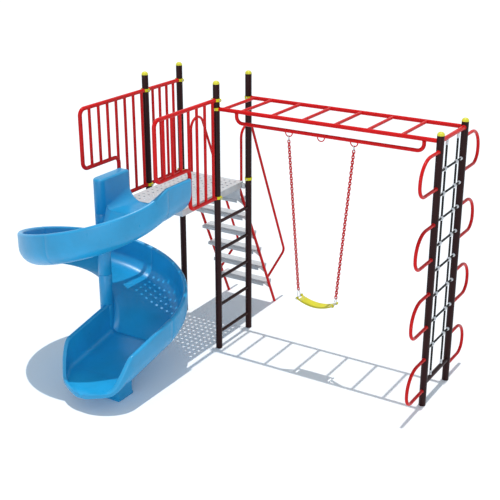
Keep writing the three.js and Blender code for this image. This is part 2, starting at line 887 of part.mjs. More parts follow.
// A straight channel between an inner and an outer wall; its corners are rounded as far as there is room
function channelOutline({ inner, out, rim, innerRim, floor, underside, innerWall, corners }) {
  const third = (out - inner) / 3;
  const wall = Math.min(slideWall, third);
  const inWall = Math.min(innerWall, third);
  const room = (out - inner - wall - inWall) / 2;
  const corner = Math.min(corners.corner, room, (rim - floor) * cornerRoomShare);
  const round = Math.min(inWall / 2, slideFinRound, (innerRim - floor) / 3);
  const innerCorner = Math.min(corners.fillet, room, (innerRim - floor) * cornerRoomShare);
  const outerCorner = Math.min(corners.outerCorner, third, (rim - underside) * outerRoomShare);
  const footCorner = Math.min(slideHubFillet, (innerRim - underside) / 3, third / 2);
  return [
    ...arcPoints(inner + footCorner, underside + footCorner, footCorner, -quarter, -2 * quarter, 2),
    ...arcPoints(inner + round, innerRim - round, round, 2 * quarter, quarter, 2),
    ...arcPoints(inner + inWall - round, innerRim - round, round, quarter, 0, 2),
    ...arcPoints(inner + inWall + innerCorner, floor + innerCorner, innerCorner, 2 * quarter, 3 * quarter, 3),
    ...outerWall({ out, rim, floor, underside, corner, outerCorner, wall }),
  ];
}

function hubCylinder(diameter, bottom, top) {
  return rod(
    at(slideCentreReach, slideCentreY, bottom),
    at(slideCentreReach, slideCentreY, top),
    diameter,
    postSides,
  );
}

const slideHubBore = slidePoleDiameter + 2 * slidePolePlay;
const quarterDrop = slideTurnDrop / slideQuarters;
const rimAt = (quarters) => slideRimHeight - quarters * quarterDrop;
const undersideAt = (quarters) => rimAt(quarters) - slideDepth - slideFloorWall;

// Entry: straight run with the hub's height carried on as a thick inner wall. Its mouth at the deck is
// rounded wide, and the corners draw in to those of the turns
function slideEntry() {
  const mouth = { corner: slideEntryCorner, outerCorner: slideEntryOuterCorner, fillet: slideEntryFillet };
  const rings = Array.from({ length: entrySteps + 1 }, (_, step) => {
    const share = step / entrySteps;
    const drawn = easeShare(share);
    const corners = Object.fromEntries(Object.keys(mouth).map((key) => (
      [key, mouth[key] + (turnCorners[key] - mouth[key]) * drawn]
    )));
    const y = slideStart + (slideCentreY + touchGap - slideStart) * share;
    return channelOutline({
      inner: -slideHubDiameter / 2,
      out: slideRadius,
      rim: slideRimHeight + slideEntryRise,
      innerRim: slideFinTop,
      floor: slideRimHeight - slideDepth,
      underside: undersideAt(0),
      innerWall: slideHubDiameter,
      corners,
    }).map(([out, up]) => at(slideCentreReach + out, y, up));
  });
  const hub = turned([
    [0, undersideAt(0)],
    [slideHubDiameter / 2, undersideAt(0)],
    [slideHubDiameter / 2, slideFinTop - slideFinRound],
    [slideHubDiameter / 2 - slideFinRound, slideFinTop],
    [0, slideFinTop],
  ], postSides, slideCentreReach, slideCentreY);
  const bore = hubCylinder(slideHubBore, undersideAt(0) - slideFloorWall, slideFinTop - slideFloorWall);
  return cut(fuse([loft(rings), hub]), [bore]);
}

// The rim's extra height over the helix, eased away in the first steps of the first turn
function entryRise(index, step) {
  const share = Math.max(1 - step / slideEntryEase, 0);
  return index === 0 ? slideEntryRise * share * share : 0;
}

// Each quarter turn has its own length of hub; the hubs stack on the pole and the channel's
// upper end lies against the hub above
function slideTurn(index) {
  const rings = Array.from({ length: quarterSteps + 1 }, (_, step) => {
    const share = index + step / quarterSteps;
    const angle = -share * quarter;
    const outline = turnOutline(rimAt(share), entryRise(index, step));
    const end = (step === 0) - (step === quarterSteps);
    const clear = end * touchGap / 2;
    return outline.map(([out, up]) => at(
      slideCentreReach + out * Math.cos(angle) + clear * Math.sin(angle),
      slideCentreY + out * Math.sin(angle) - clear * Math.cos(angle),
      up,
    ));
  });
  const hubTop = undersideAt(index) - touchGap;
  const hub = hubCylinder(slideHubDiameter, undersideAt(index + 1), hubTop);
  const upperHub = hubCylinder(slideHubDiameter + 2 * touchGap, hubTop, towerHeight);
  const channel = cut(loft(rings), [upperHub]);
  return cut(fuse([channel, hub]), [hubCylinder(slideHubBore, -slideFloorWall, towerHeight)]);
}

// Straight run-out: the walls fall away and the floor ends in a rounded nose
const exitMiddle = (exitInnerReach + slideRadius) / 2;
const exitHalf = (slideRadius - exitInnerReach) / 2;
const exitFloorStart = slideRimHeight - slideTurnDrop - slideDepth;
const exitFloorEnd = exitLipHeight + slideFloorWall;

function exitFloorAt(reach) {
  return exitFloorStart + (exitFloorEnd - exitFloorStart) * reach / exitRun;
}

function exitSection(reach, half, rim, floor, underside) {
  const outline = channelOutline({
    inner: exitMiddle - half,
    out: exitMiddle + half,
    rim,
    innerRim: rim,
    floor,
    underside,
    innerWall: slideWall,
    corners: turnCorners,
  });
  return outline.map(([out, up]) => at(slideCentreReach + out, slideCentreY - reach, up));
}

function slideExit() {
  const rings = [];
  const rimStart = slideRimHeight - slideTurnDrop;
  const rimEnd = rimStart - exitFall;
  for (let i = 0; i <= exitRunSteps; i += 1) {
    const along = Math.max(exitRun * i / exitRunSteps, touchGap);
    const floor = exitFloorAt(along);
    const rim = rimStart - exitFall * along / exitRun;
    rings.push(exitSection(along, exitHalf, rim, floor, floor - slideFloorWall));
  }
  for (let i = 1; i <= exitNoseSteps; i += 1) {
    const turn = quarter * exitNoseTurnShare * i / exitNoseSteps;
    const smooth = easeShare(i / exitNoseSteps / exitNoseSmoothShare);
    const drop = exitNoseDrop * (1 - Math.cos(turn)) ** exitDropPower;
    const floor = exitLipHeight + slideFloorWall * (1 - smooth) - drop;
    const rim = floor + exitLipRise + (rimEnd - exitFloorEnd - exitLipRise) * (1 - smooth);
    const underside = floor - slideFloorWall + (slideFloorWall - exitNoseWall) * smooth;
    const along = exitRun + exitNose * Math.sin(turn);
    rings.push(exitSection(along, exitHalf * Math.cos(turn), rim, floor, underside));
  }
  const hub = hubCylinder(slideHubDiameter + 2 * touchGap, 0, towerHeight);
  return cut(loft(rings), [hub]);
}

// Moulded foot, open below, whose top follows the fall of the exit's underside
function exitFoot() {
  const near = exitRun - exitFootLength;
  const block = (inset, bottom) => {
    const shape = new THREE.Shape([near + inset, exitRun - inset].flatMap((along, i) => {
      const top = exitFloorAt(along) - slideFloorWall - touchGap - inset;
      const corners = [new THREE.Vector2(-along, bottom), new THREE.Vector2(-along, top)];
      return i === 0 ? corners : corners.reverse();
    }));
    const piece = new THREE.ExtrudeGeometry(shape, {
      depth: exitFootWidth - 2 * inset,
      bevelEnabled: false,
    });
    piece.rotateX(Math.PI / 2);
    piece.rotateZ(Math.PI / 2);
    return piece.translate(slideCentreReach + exitFootOut - exitFootWidth / 2 + inset, slideCentreY, 0);
  };
  return cut(block(0, 0), [block(exitFootWall, -exitFootWall)]);
}

// Swing beam, hangers, chains and seat
const beamHeight = barsHeight - beamDrop;
const hangerTop = beamHeight - beamDiameter / 2;
const pivotHeight = hangerTop - hangerRadius;

// Bent beam under the front rail, with three half rings welded below it
function swingBeam() {
  const top = barsHeight - railDiameter / 2 - touchGap;
  const beam = bentTube(bentPath([
    at(beamStart, 0, top),
    at(beamStart, 0, beamHeight),
    at(barsLength - beamEndInset, 0, beamHeight),
    at(barsLength - beamEndInset, 0, top),
  ], beamBend), beamDiameter);
  const rings = [-swingSpread, 0, swingSpread].map((offset) => {
    const middle = swingCentre + offset;
    const steps = 2 * ringSteps;
    const bow = Array.from({ length: steps + 1 }, (_, i) => {
      const angle = Math.PI + Math.PI * i / steps;
      return at(middle + hangerRadius * Math.cos(angle), 0, hangerTop + hangerRadius * Math.sin(angle));
    });
    const ends = [-1, 1].map((side) => at(middle + side * hangerRadius, 0, beamHeight));
    return bentTube([ends[0], ...bow, ends[1]], hangerRod, barSides);
  });
  return fuse([beam, ...rings]);
}

// Corners of a rounded end round an opening, from one side over the end to the other, in the Y-Z plane
function bowCorners(centre, up, openRadius, rodWidth) {
  const radius = (openRadius + rodWidth / 2) / Math.cos(quarter / ringSteps);
  return Array.from({ length: ringSteps + 1 }, (_, i) => {
    const angle = Math.PI * i / ringSteps;
    return centre.clone()
      .add(at(0, radius * Math.cos(angle), 0))
      .addScaledVector(up, radius * Math.sin(angle));
  });
}

// How deep a square bar can lie in such an end before its corners touch
function bowDepth(openRadius, wire) {
  const facet = quarter / ringSteps;
  return openRadius / Math.cos(facet) - wire / 2 * Math.tan(facet);
}

function swingSide(side) {
  const pivot = at(swingCentre + side * swingSpread, 0, pivotHeight);
  const up = at(0, 0, 1);
  const open = hangerRod / 2 + shacklePlay;
  const topBow = bowCorners(pivot, up, open, shackleRod);
  const lowCentre = pivot.clone().addScaledVector(lower, shackleLeg);
  const lowBow = bowCorners(lowCentre, lower, open, shackleRod).reverse();
  const shackle = wireRing([...topBow, ...lowBow], shackleRod, barSides);
  const start = lowCentre.clone().addScaledVector(lower, bowDepth(open, chainWire) + chainBearing);
  const end = at(swingCentre + side * seatSpread, 0, seatHangHeight);
  const along = end.clone().sub(start);
  const length = along.length();
  along.normalize();
  const links = 2 * Math.round((length / chainPitch - 1) / 2) + 1;
  const pitch = length / links;
  const across = along.clone().cross(at(0, 1, 0)).normalize();
  const chain = Array.from({ length: links }, (_, i) => {
    const centre = start.clone().addScaledVector(along, (i + 1 / 2) * pitch);
    return chainLink(centre, along, i % 2 === 0 ? across : at(0, 1, 0), pitch - chainBearing);
  });
  const lastWire = end.clone().addScaledVector(along, chainWire / 2);
  return { hanging: fuse([shackle, ...chain]), lastWire, along };
}

// A link of welded bar, wide enough inside for the next one
function chainLink(centre, along, across, innerLength) {
  const tall = (innerLength + chainWire) / 2;
  const half = chainWire + chainInnerPlay / 2;
  const corners = [[tall, half], [-tall, half], [-tall, -half], [tall, -half]];
  return wireRing(corners.map(([down, out]) => (
    centre.clone().addScaledVector(along, down).addScaledVector(across, out)
  )), chainWire, 4);
}

// End shackle: its bow wraps the last link in line with the chain, its legs come down in the belt's
// notch, and its pin carries the hem on both sides of the notch
function seatFitting(centre, along, side) {
  const up = at(0, 0, 1);
  const open = chainWire / 2 * Math.SQRT2 + touchGap;
  const bow = bowCorners(centre, up, open, fittingRod);
  const barX = swingCentre + side * seatHalfSpan;
  const barZ = seatHangHeight - seatEndDrop;
  const half = fittingWidth / 2;
  const corners = [...bow, at(barX, -half, barZ), at(barX, half, barZ)];
  const legSlope = (barX - centre.x) / (barZ - centre.z);
  const chainSlope = along.x / along.z;
  const placed = corners.map((corner) => {
    const above = corner.z - centre.z;
    return corner.clone().setX(centre.x + above * (above < 0 ? legSlope : chainSlope));
  });
  const pinHalf = seatWidth / 2 + fittingPinRise;
  const pin = rod(at(barX, -pinHalf, barZ), at(barX, pinHalf, barZ), fittingRod, barSides);
  return fuse([wireRing(placed, fittingRod, barSides), pin]);
}

function beltSeat() {
  const endHeight = seatHangHeight - seatEndDrop;
  const half = seatWidth / 2;
  const rings = Array.from({ length: seatSteps + 1 }, (_, i) => {
    const share = 2 * i / seatSteps - 1;
    const x = swingCentre + share * seatHalfSpan;
    const z = endHeight - seatSag * (1 - share * share);
    const narrow = 1 - seatEndNarrowShare * share * share;
    const edge = seatThickness / 2;
    return [
      [-half * narrow, 0], [-half * narrow + edge, -edge], [half * narrow - edge, -edge],
      [half * narrow, 0], [half * narrow - edge, edge], [-half * narrow + edge, edge],
    ].map(([y, up]) => at(x, y, z + up));
  });
  const hems = [-1, 1].map((side) => rod(
    at(swingCentre + side * seatHalfSpan, -half + seatThickness, endHeight),
    at(swingCentre + side * seatHalfSpan, half - seatThickness, endHeight),
    seatHem,
    tubeSides,
  ));
  const bores = [-1, 1].map((side) => rod(
    at(swingCentre + side * seatHalfSpan, -half - seatHem, endHeight),
    at(swingCentre + side * seatHalfSpan, half + seatHem, endHeight),
    fittingRod * borePlayShare + 2 * touchGap,
    tubeSides,
  ));
  const notchWidth = fittingWidth + fittingRod + seatNotchPlay;
  const notches = [-1, 1].map((side) => {
    const notch = new THREE.BoxGeometry(2 * seatNotchDepth, notchWidth, 2 * seatNotchDepth + seatSag);
    return notch.translate(swingCentre + side * seatHalfSpan, 0, endHeight);
  });
  return cut(fuse([loft(rings), ...hems]), [...bores, ...notches]);
}

function addTower() {
  addPosts();
  addPiece('slide_guard_left', slideGuard(-towerLength), 'red');
  addPiece('slide_guard_right', slideGuard(0), 'red');
  addPiece('side_guard', sideGuard(), 'red');
  addPiece('deck_tray', deckTray(), 'grey');
  addPiece('stair_stringer_left', stringer(-1), 'red');
  addPiece('stair_stringer_right', stringer(1), 'red');
  for (let step = 0; step < stairTreads; step += 1) {
    addPiece(`stair_tread_${step + 1}`, closedMesh(tread(step)), 'grey');
  }
  addPiece('handrail_left', handrail(-1), 'red');
  addPiece('handrail_right', handrail(1), 'red');
}

function addBars() {
  addPiece('monkey_bars', monkeyBars(), 'red');
  for (let row = 0; row < gripRows; row += 1) {
    addPiece(`grip_loop_front_${row + 1}`, gripLoop(0, -1, row), 'red');
    addPiece(`grip_loop_back_${row + 1}`, gripLoop(towerWidth, 1, row), 'red');
  }
  addPiece('rope_net', ropeNet(), 'black');
}

function addSlide() {
  const poleTop = slideFinTop - slideFloorWall - touchGap;
  addPiece('slide_pole', tube(slideCentreReach, slideCentreY, 0, poleTop, slidePoleDiameter, slidePoleWall,
    postSides), 'maroon');
  addPiece('slide_entry', slideEntry(), 'blue');
  for (let index = 0; index < slideQuarters; index += 1) {
    addPiece(`slide_turn_${index + 1}`, slideTurn(index), 'blue');
  }
  addPiece('slide_exit', slideExit(), 'blue');
  addPiece('slide_exit_foot', exitFoot(), 'blue');
  const hubWall = (slideHubDiameter - slideHubBore) / 2;
  addPiece('slide_hub_foot', tube(slideCentreReach, slideCentreY, 0, undersideAt(slideQuarters) - touchGap,
    slideHubDiameter, hubWall, postSides), 'blue');
}

function addSwing() {
  addPiece('swing_beam', swingBeam(), 'red');
  [['left', -1], ['right', 1]].forEach(([name, side]) => {
    const { hanging, lastWire, along } = swingSide(side);
    addPiece(`swing_chain_${name}`, hanging, 'red');
    addPiece(`seat_fitting_${name}`, seatFitting(lastWire, along, side), 'zinc');
  });
  addPiece('belt_seat', beltSeat(), 'yellow');
}

addTower();
addBars();
addSlide();
addSwing();

// The origin is on the ground, under the middle of the whole
const reach = new THREE.Box3().setFromObject(playTower);
const centre = reach.getCenter(new THREE.Vector3());
playTower.position.set(-centre.x, -centre.y, -reach.min.z);

export default playTower;
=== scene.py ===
"""Play tower with a spiral slide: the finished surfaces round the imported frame.

Sizes are in millimetres until a mesh is made. Places are measured from the foot of the front right tower
post, as in the model's source: X along the monkey bars, Y from the slide to the stair and Z up.
"""
import math
import bpy
from mathutils import Matrix, Vector


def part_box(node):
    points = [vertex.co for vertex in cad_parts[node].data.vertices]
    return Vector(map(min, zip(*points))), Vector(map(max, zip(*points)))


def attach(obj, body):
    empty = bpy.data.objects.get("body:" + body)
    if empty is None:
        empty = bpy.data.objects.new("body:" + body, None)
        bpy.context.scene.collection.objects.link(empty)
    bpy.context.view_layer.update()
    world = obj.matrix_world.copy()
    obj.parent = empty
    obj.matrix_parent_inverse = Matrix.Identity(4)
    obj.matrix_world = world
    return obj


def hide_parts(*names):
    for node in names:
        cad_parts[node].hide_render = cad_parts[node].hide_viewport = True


bl_info = {
    "name": "Play tower with spiral slide",
    "version": (1, 0, 0),
    "blender": (4, 5, 0),
    "location": "3D View > Sidebar > Play tower",
    "description": "Builds the finished pieces of a play tower round its packed frame",
    "category": "Object",
}

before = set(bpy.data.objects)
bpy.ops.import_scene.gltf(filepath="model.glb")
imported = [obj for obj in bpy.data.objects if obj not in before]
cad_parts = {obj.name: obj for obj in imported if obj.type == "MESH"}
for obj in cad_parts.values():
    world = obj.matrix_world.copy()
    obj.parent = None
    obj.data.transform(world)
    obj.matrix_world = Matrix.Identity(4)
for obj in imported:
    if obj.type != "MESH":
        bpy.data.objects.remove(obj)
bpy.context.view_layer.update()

TURN = 2 * math.pi
QUARTER = math.pi / 2
UP = Vector((0, 0, 1))
ALONG_X = Vector((1, 0, 0))
ALONG_Y = Vector((0, 1, 0))
SIDES = ((-1, "left"), (1, "right"))


def post_axis(node):
    low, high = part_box(node)
    return (low + high) / 2 * 1000


ORIGIN = Vector((post_axis("tower_post_back_right").x, post_axis("tower_post_front_left").y, 0))
TOWER_LENGTH = round(ORIGIN.x - post_axis("tower_post_front_left").x, 1)
TOWER_WIDTH = round(post_axis("tower_post_back_right").y - ORIGIN.y, 1)
BARS_LENGTH = round(post_axis("end_post_front").x - ORIGIN.x, 1)


# Properties


def length(label, text, value, low=0.0):
    return bpy.props.FloatProperty(name=label, description=text, default=value, min=low, unit="LENGTH")


def colour(label, text, value):
    return bpy.props.StringProperty(name=label, description=text, default=value)


class TowerSizes(bpy.types.PropertyGroup):
    """Sizes of the tower in metres"""
    post: length("Post", "Outer diameter of a post", 0.0635)
    rail: length("Rail", "Outer diameter of the guard and monkey-bar rails", 0.038)
    bar: length("Guard bar", "Diameter of an upright bar in a guard", 0.028)
    deck: length("Deck", "Height of the deck", 1.58)
    guard: length("Guard", "Height of the guards' top rail", 2.522)
    bars: length("Monkey bars", "Height of the monkey bars", 2.44)
    hole: length("Deck hole", "Diameter of a hole in the deck", 0.024)
    hole_pitch: length("Hole pitch", "Distance between deck holes along the bars", 0.061, 0.04)
    hole_row: length("Hole rows", "Distance between the rows of deck holes", 0.070, 0.04)
    link_pitch: length("Chain pitch", "Length of a chain link inside", 0.024, 0.02)


class TowerColours(bpy.types.PropertyGroup):
    """Colours as sRGB hex values"""
    post: colour("Posts", "Powder coat of the posts and the ladder", "2E1415")
    rail: colour("Rails", "Powder coat of the rails, loops and stair", "DA181A")
    yellow: colour("Clamps", "Paint of the clamps", "F0EA2A")
    cap: colour("Caps", "Plastic of the caps", "E6DF3A")
    deck: colour("Deck", "Coating of the deck and treads", "CFD1D3")
    slide: colour("Slide", "Polyethylene of the slide", "1E9ED5")
    rope: colour("Rope", "Yarn of the rope net", "101112")
    clip: colour("Clips", "Nylon of the net's clips and balls", "E8EAEC")
    seat: colour("Seat", "Rubber of the belt seat", "DED61E")
    floor: colour("Floor", "Studio floor", "F7F8FA")


def size(name):
    """A size of the tower, in millimetres"""
    return getattr(bpy.context.scene.tower_sizes, name) * 1000


def place(x, y, z):
    """A point given from the front right post, in the row's frame"""
    return ORIGIN + Vector((x, y, z))


# Outlines and paths


def arc(out, up, radius, start, end, steps):
    return [
        (out + radius * math.cos(start + (end - start) * i / steps),
         up + radius * math.sin(start + (end - start) * i / steps))
        for i in range(steps + 1)
    ]


def rectangle(y0, y1, z0, z1):
    return (y0, z0), (y1, z0), (y1, z1), (y0, z1)


def rounded_rectangle(x0, x1, y0, y1, radius, steps):
    corners = ((x1 - radius, y1 - radius), (x0 + radius, y1 - radius),
               (x0 + radius, y0 + radius), (x1 - radius, y0 + radius))
    line = []
    for quarter, (x, y) in enumerate(corners):
        line += arc(x, y, radius, quarter * QUARTER, (quarter + 1) * QUARTER, steps)
    return line


def inset(line, depth):
    """A closed outline drawn in by depth"""
    if not depth:
        return line
    count = len(line)
    area = sum(line[i - 1][0] * line[i][1] - line[i][0] * line[i - 1][1] for i in range(count))
    way = 1 if area > 0 else -1
    moved = []
    for i in range(count):
        before, here, after = (Vector(line[k % count]) for k in (i - 1, i, i + 1))
        into = (here - before).normalized() if (here - before).length > 1e-9 else (after - here).normalized()
        out = (after - here).normalized() if (after - here).length > 1e-9 else into
        mean = into + out
        if mean.length < 1e-6:
            mean = into
        mean.normalize()
        stretch = min(1 / max(mean.dot(into), 0.5), 1.6)
        moved.append(tuple(here + Vector((-mean.y, mean.x)) * way * depth * stretch))
    return moved


def bent(corners, radii, steps=10):
    """Points along straight runs whose corners are rounded"""
    corners = [Vector(c) for c in corners]
    if not isinstance(radii, (list, tuple)):
        radii = [radii] * (len(corners) - 2)
    points = [corners[0]]
    for before, corner, after, radius in zip(corners, corners[1:], corners[2:], radii):
        back = (before - corner).normalized()
        ahead = (after - corner).normalized()
        half = back.angle(ahead) / 2
        centre = corner + (back + ahead).normalized() * radius / math.sin(half)
        start = corner + back * radius / math.tan(half) - centre
        end = corner + ahead * radius / math.tan(half) - centre
        sweep = math.pi - 2 * half
        for k in range(steps + 1):
            arm = start * math.sin((1 - k / steps) * sweep) + end * math.sin(k / steps * sweep)
            points.append(centre + arm / math.sin(sweep))
    points.append(corners[-1])
    return [place(*p) for p in points]


def stepped(start, end, step):
    """Points from start to end, about step apart"""
    count = max(int((end - start).length / step), 1)
    return [start.lerp(end, i / count) for i in range(count + 1)]


def stadium(centre, axis, across, straight, half, steps=8):
    """A closed loop of two half circles and the straight sides between them"""
    loop = []
    for end in (1, -1):
        for k in range(steps + 1):
            angle = math.pi * k / steps
            along = end * (straight / 2 + math.sin(angle) * half)
            loop.append(centre + axis * along + across * math.cos(angle) * half * end)
    return loop


def transported(points, closed=False):
    """Each point with two directions square to the path, carried along without twist"""
    count = len(points)
    tangents = []
    for i in range(count):
        before = points[i - 1] if closed or i else points[0]
        after = points[(i + 1) % count] if closed or i < count - 1 else points[-1]
        into = (points[i] - before).normalized() if (points[i] - before).length else Vector()
        out = (after - points[i]).normalized() if (after - points[i]).length else Vector()
        tangents.append((into + out).normalized())
    side = tangents[0].orthogonal().normalized()
    frames = []
    for point, tangent in zip(points, tangents):
        side = (side - tangent * side.dot(tangent)).normalized()
        frames.append((point, side, tangent.cross(side)))
    return frames


# Mesh building


# A laid rope's strands: how far the grooves go in, and how full the strands stand between them
GROOVE_SHARE = 0.14
STRAND_FULLNESS = 0.7
WELD_SIDES = 24
POST_WELD = 3


class Shell:
    """Vertices and faces of one piece"""

    def __init__(self):
        self.verts = []
        self.faces = []

    def loft(self, rings, closed=False, capped=True):
        """A skin over rings of points; closed joins the last ring to the first"""
        first = len(self.verts)
        count = len(rings[0])
        for ring in rings:
            self.verts.extend(ring)
        for i in range(len(rings) if closed else len(rings) - 1):
            a = first + i * count
            b = first + (i + 1) % len(rings) * count
            for j in range(count):
                k = (j + 1) % count
                self.faces.append((a + j, a + k, b + k, b + j))
        if capped and not closed:
            last = first + (len(rings) - 1) * count
            self.faces.append(tuple(reversed(range(first, first + count))))
            self.faces.append(tuple(range(last, last + count)))

    def drawn(self, section, start, end):
        """A section of (y, z) points drawn out along X"""
        self.loft([[place(x, y, z) for y, z in section] for x in (start, end)])

    def pipe(self, points, radius, sides=24, closed=False, strands=0, lay=0):
        """A round tube along points, or a rope of strands that go once round it in each lay"""
        rings = []
        along = 0.0
        last = points[0]
        for point, side, up in transported(points, closed):
            along += (point - last).length
            last = point
            ring = []
            for k in range(sides):
                angle = TURN * k / sides
                reach = radius
                if strands:
                    swell = abs(math.sin(strands / 2 * (angle - TURN * along / lay))) ** STRAND_FULLNESS
                    reach *= 1 - GROOVE_SHARE + GROOVE_SHARE * swell
                ring.append(point + side * math.cos(angle) * reach + up * math.sin(angle) * reach)
            rings.append(ring)
        self.loft(rings, closed)

    def bar(self, start, end, radius, sides=24):
        self.pipe([start, end], radius, sides)

    def turned(self, centre, axis, profile, sides=32, capped=True):
        """A turned form: profile points are (radius, height) along axis from centre"""
        axis = axis.normalized()
        side = axis.orthogonal().normalized()
        up = axis.cross(side)
        spokes = [side * math.cos(TURN * k / sides) + up * math.sin(TURN * k / sides) for k in range(sides)]
        self.loft([[centre + axis * height + spoke * max(radius, 0.01) for spoke in spokes]
                   for radius, height in profile], capped=capped)

    def weld(self, joint, rail, bar, rail_radius, bar_radius, bead=2.2):
        """The bead where a bar meets a round rail: joint is on the rail's axis"""
        rail = rail.normalized()
        bar = bar.normalized()
        across = rail.cross(bar).normalized()
        loop = []
        for k in range(WELD_SIDES):
            angle = TURN * k / WELD_SIDES
            out = bar_radius * math.cos(angle)
            height = math.sqrt(max(rail_radius ** 2 - out ** 2, 0))
            loop.append(joint + bar * height + across * out + rail * bar_radius * math.sin(angle))
        self.pipe(loop, bead, 6, closed=True)

    def rung(self, start, end, rail, radius, seats, sides=24, bead=POST_WELD, shy=0):
        """A bar welded between two rails or posts from axis to axis; each seat is how far from the axis
        the bar ends and the bead lies, and shy is how far the bead stays inside the bar's outline"""
        way = (end - start).normalized()
        self.bar(start + way * seats[0][0], end - way * seats[1][0], radius, sides)
        self.weld(start, rail, way, seats[0][1], radius - shy, bead)
        self.weld(end, rail, -way, seats[1][1], radius - shy, bead)

    def piece(self, name, coat, nodes=(), body="frame", smooth=35, bevel=0.0):
        mesh = bpy.data.meshes.new(name)
        mesh.from_pydata([tuple(v / 1000) for v in self.verts], [], self.faces)
        mesh.validate()
        mesh.update()
        finish_piece(linked(name, mesh), coat, nodes, body, smooth, bevel)


def linked(name, data):
    """A new object of the scene"""
    thing = bpy.data.objects.new(name, data)
    bpy.context.scene.collection.objects.link(thing)
    return thing


def worked_out(thing):
    """A mesh of the thing with its modifiers, or its curves, worked out"""
    bpy.context.view_layer.update()
    graph = bpy.context.evaluated_depsgraph_get()
    return bpy.data.meshes.new_from_object(thing.evaluated_get(graph))


def finish_piece(thing, coat, nodes=(), body="frame", smooth=35, bevel=0.0):
    """Gives a piece its finish and hangs it on its body in place of the nodes it stands for"""
    if bevel:
        edge = thing.modifiers.new("Rounded edges", "BEVEL")
        edge.width = bevel / 1000
        edge.segments = 2
        edge.limit_method = "ANGLE"
        edge.angle_limit = math.radians(40)
        rounded, sharp = worked_out(thing), thing.data
        thing.modifiers.clear()
        thing.data = rounded
        rounded.name = thing.name
        bpy.data.meshes.remove(sharp)
    mesh = thing.data
    for polygon in mesh.polygons:
        polygon.use_smooth = True
    mesh.set_sharp_from_angle(angle=math.radians(smooth))
    mesh.materials.clear()
    mesh.materials.append(finish(coat))
    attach(thing, body)
    if nodes:
        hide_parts(*nodes)


# Materials: each maker takes a tree, the object's own coordinates and a colour, and gives the shader's inputs


def linear(value):
    """sRGB hex to linear colour"""
    channels = [int(value[i:i + 2], 16) / 255 for i in (0, 2, 4)]
    return tuple(c / 12.92 if c <= 0.04045 else ((c + 0.055) / 1.055) ** 2.4 for c in channels) + (1.0,)


def shade(value, factor):
    """The same hue made lighter or darker, as linear colour"""
    return tuple(min(c * factor, 1.0) for c in linear(value)[:3]) + (1.0,)


def add(tree, kind, settings=None, inputs=None):
    """Adds a node, sets its settings and sets or links its inputs"""
    node = tree.nodes.new(kind)
    for name, value in (settings or {}).items():
        setattr(node, name, value)
    for name, value in (inputs or {}).items():
        socket = node.inputs[name]
        if isinstance(value, bpy.types.NodeSocket):
            tree.links.new(value, socket)
        else:
            socket.default_value = value
    return node


def empty_tree(owner):
    owner.use_nodes = True
    owner.node_tree.nodes.clear()
    return owner.node_tree


def noise(tree, coords, blotch, detail=3.0, rough=0.5):
    """Noise whose blotches are about this many millimetres across"""
    return add(tree, "ShaderNodeTexNoise", inputs={
        "Vector": coords, "Scale": 1000 / blotch, "Detail": detail, "Roughness": rough}).outputs["Fac"]


def ramp(tree, factor, *stops):
    """A colour ramp through (place, colour) stops"""
    node = add(tree, "ShaderNodeValToRGB", inputs={"Fac": factor})
    for element, (where, value) in zip(node.color_ramp.elements, stops):
        element.position = where
        element.color = value
    return node.outputs["Color"]


def mottled(tree, factor, value, dark, light, low=0.3, high=0.7):
    """A colour made darker where the factor is low and lighter where it is high"""
    return ramp(tree, factor, (low, shade(value, dark)), (high, shade(value, light)))


def span(tree, factor, low, high):
    """A factor turned to values between low and high"""
    return add(tree, "ShaderNodeMapRange", inputs={
        "Value": factor, "From Min": 0.3, "From Max": 0.7, "To Min": low, "To Max": high}).outputs["Result"]


def bump(tree, height, depth, strength=1.0, under=None):
    """A bumpy surface, depth in millimetres, on top of the one under it"""
    inputs = {"Height": height, "Distance": depth / 1000, "Strength": strength}
    if under:
        inputs["Normal"] = under
    return add(tree, "ShaderNodeBump", inputs=inputs).outputs["Normal"]


def maths(tree, operation, one, other):
    node = add(tree, "ShaderNodeMath", {"operation": operation})
    tree.links.new(one, node.inputs[0])
    tree.links.new(other, node.inputs[1])
    return node.outputs["Value"]


def background_rays(tree):
    """One for rays from the camera and for those that gloss or glass sends on, else nought"""
    path = add(tree, "ShaderNodeLightPath").outputs
    seen = maths(tree, "MAXIMUM", path["Is Camera Ray"], path["Is Glossy Ray"])
    return maths(tree, "MAXIMUM", seen, path["Is Transmission Ray"])


def powder_coat(tree, coords, value, rough):
    """Polyester powder coat, sprayed and baked: even colour, soft gloss and a faint orange peel"""
    # The real peel is about 1.5 mm across; it is drawn at 4 mm so that it shows
    peel = noise(tree, coords, 4, 2)
    return {
        "Base Color": mottled(tree, noise(tree, coords, 220, 2), value, 0.9, 1.08),
        "Roughness": span(tree, noise(tree, coords, 35, 5, 0.65), rough - 0.06, rough + 0.1),
        "Normal": bump(tree, peel, 0.08, 0.5),
        "Coat Weight": 0.03, "Coat Roughness": 0.15, "Specular IOR Level": 0.12}


def moulded_polyethylene(tree, coords, value):
    """Rotomoulded polyethylene: waxy half gloss, cloudy pigment and the fine pebble of the mould"""
    # Sliding wears long dull streaks and small scuffs into the skin
    stretched = add(tree, "ShaderNodeMapping", inputs={"Vector": coords, "Scale": (1.0, 1.0, 0.25)})
    scuff = noise(tree, stretched.outputs["Vector"], 22, 6, 0.7)
    # The mould's pebble is about 1 mm; it is drawn at 3 mm so that it shows
    pebble = noise(tree, coords, 3, 2)
    wave = bump(tree, noise(tree, coords, 90, 1), 1.2, 0.35)
    return {
        "Base Color": mottled(tree, noise(tree, coords, 260, 3, 0.55), value, 0.88, 1.1, 0.25, 0.75),
        "Roughness": span(tree, scuff, 0.26, 0.42),
        "Normal": bump(tree, pebble, 0.07, 0.35, wave),
        "IOR": 1.5}


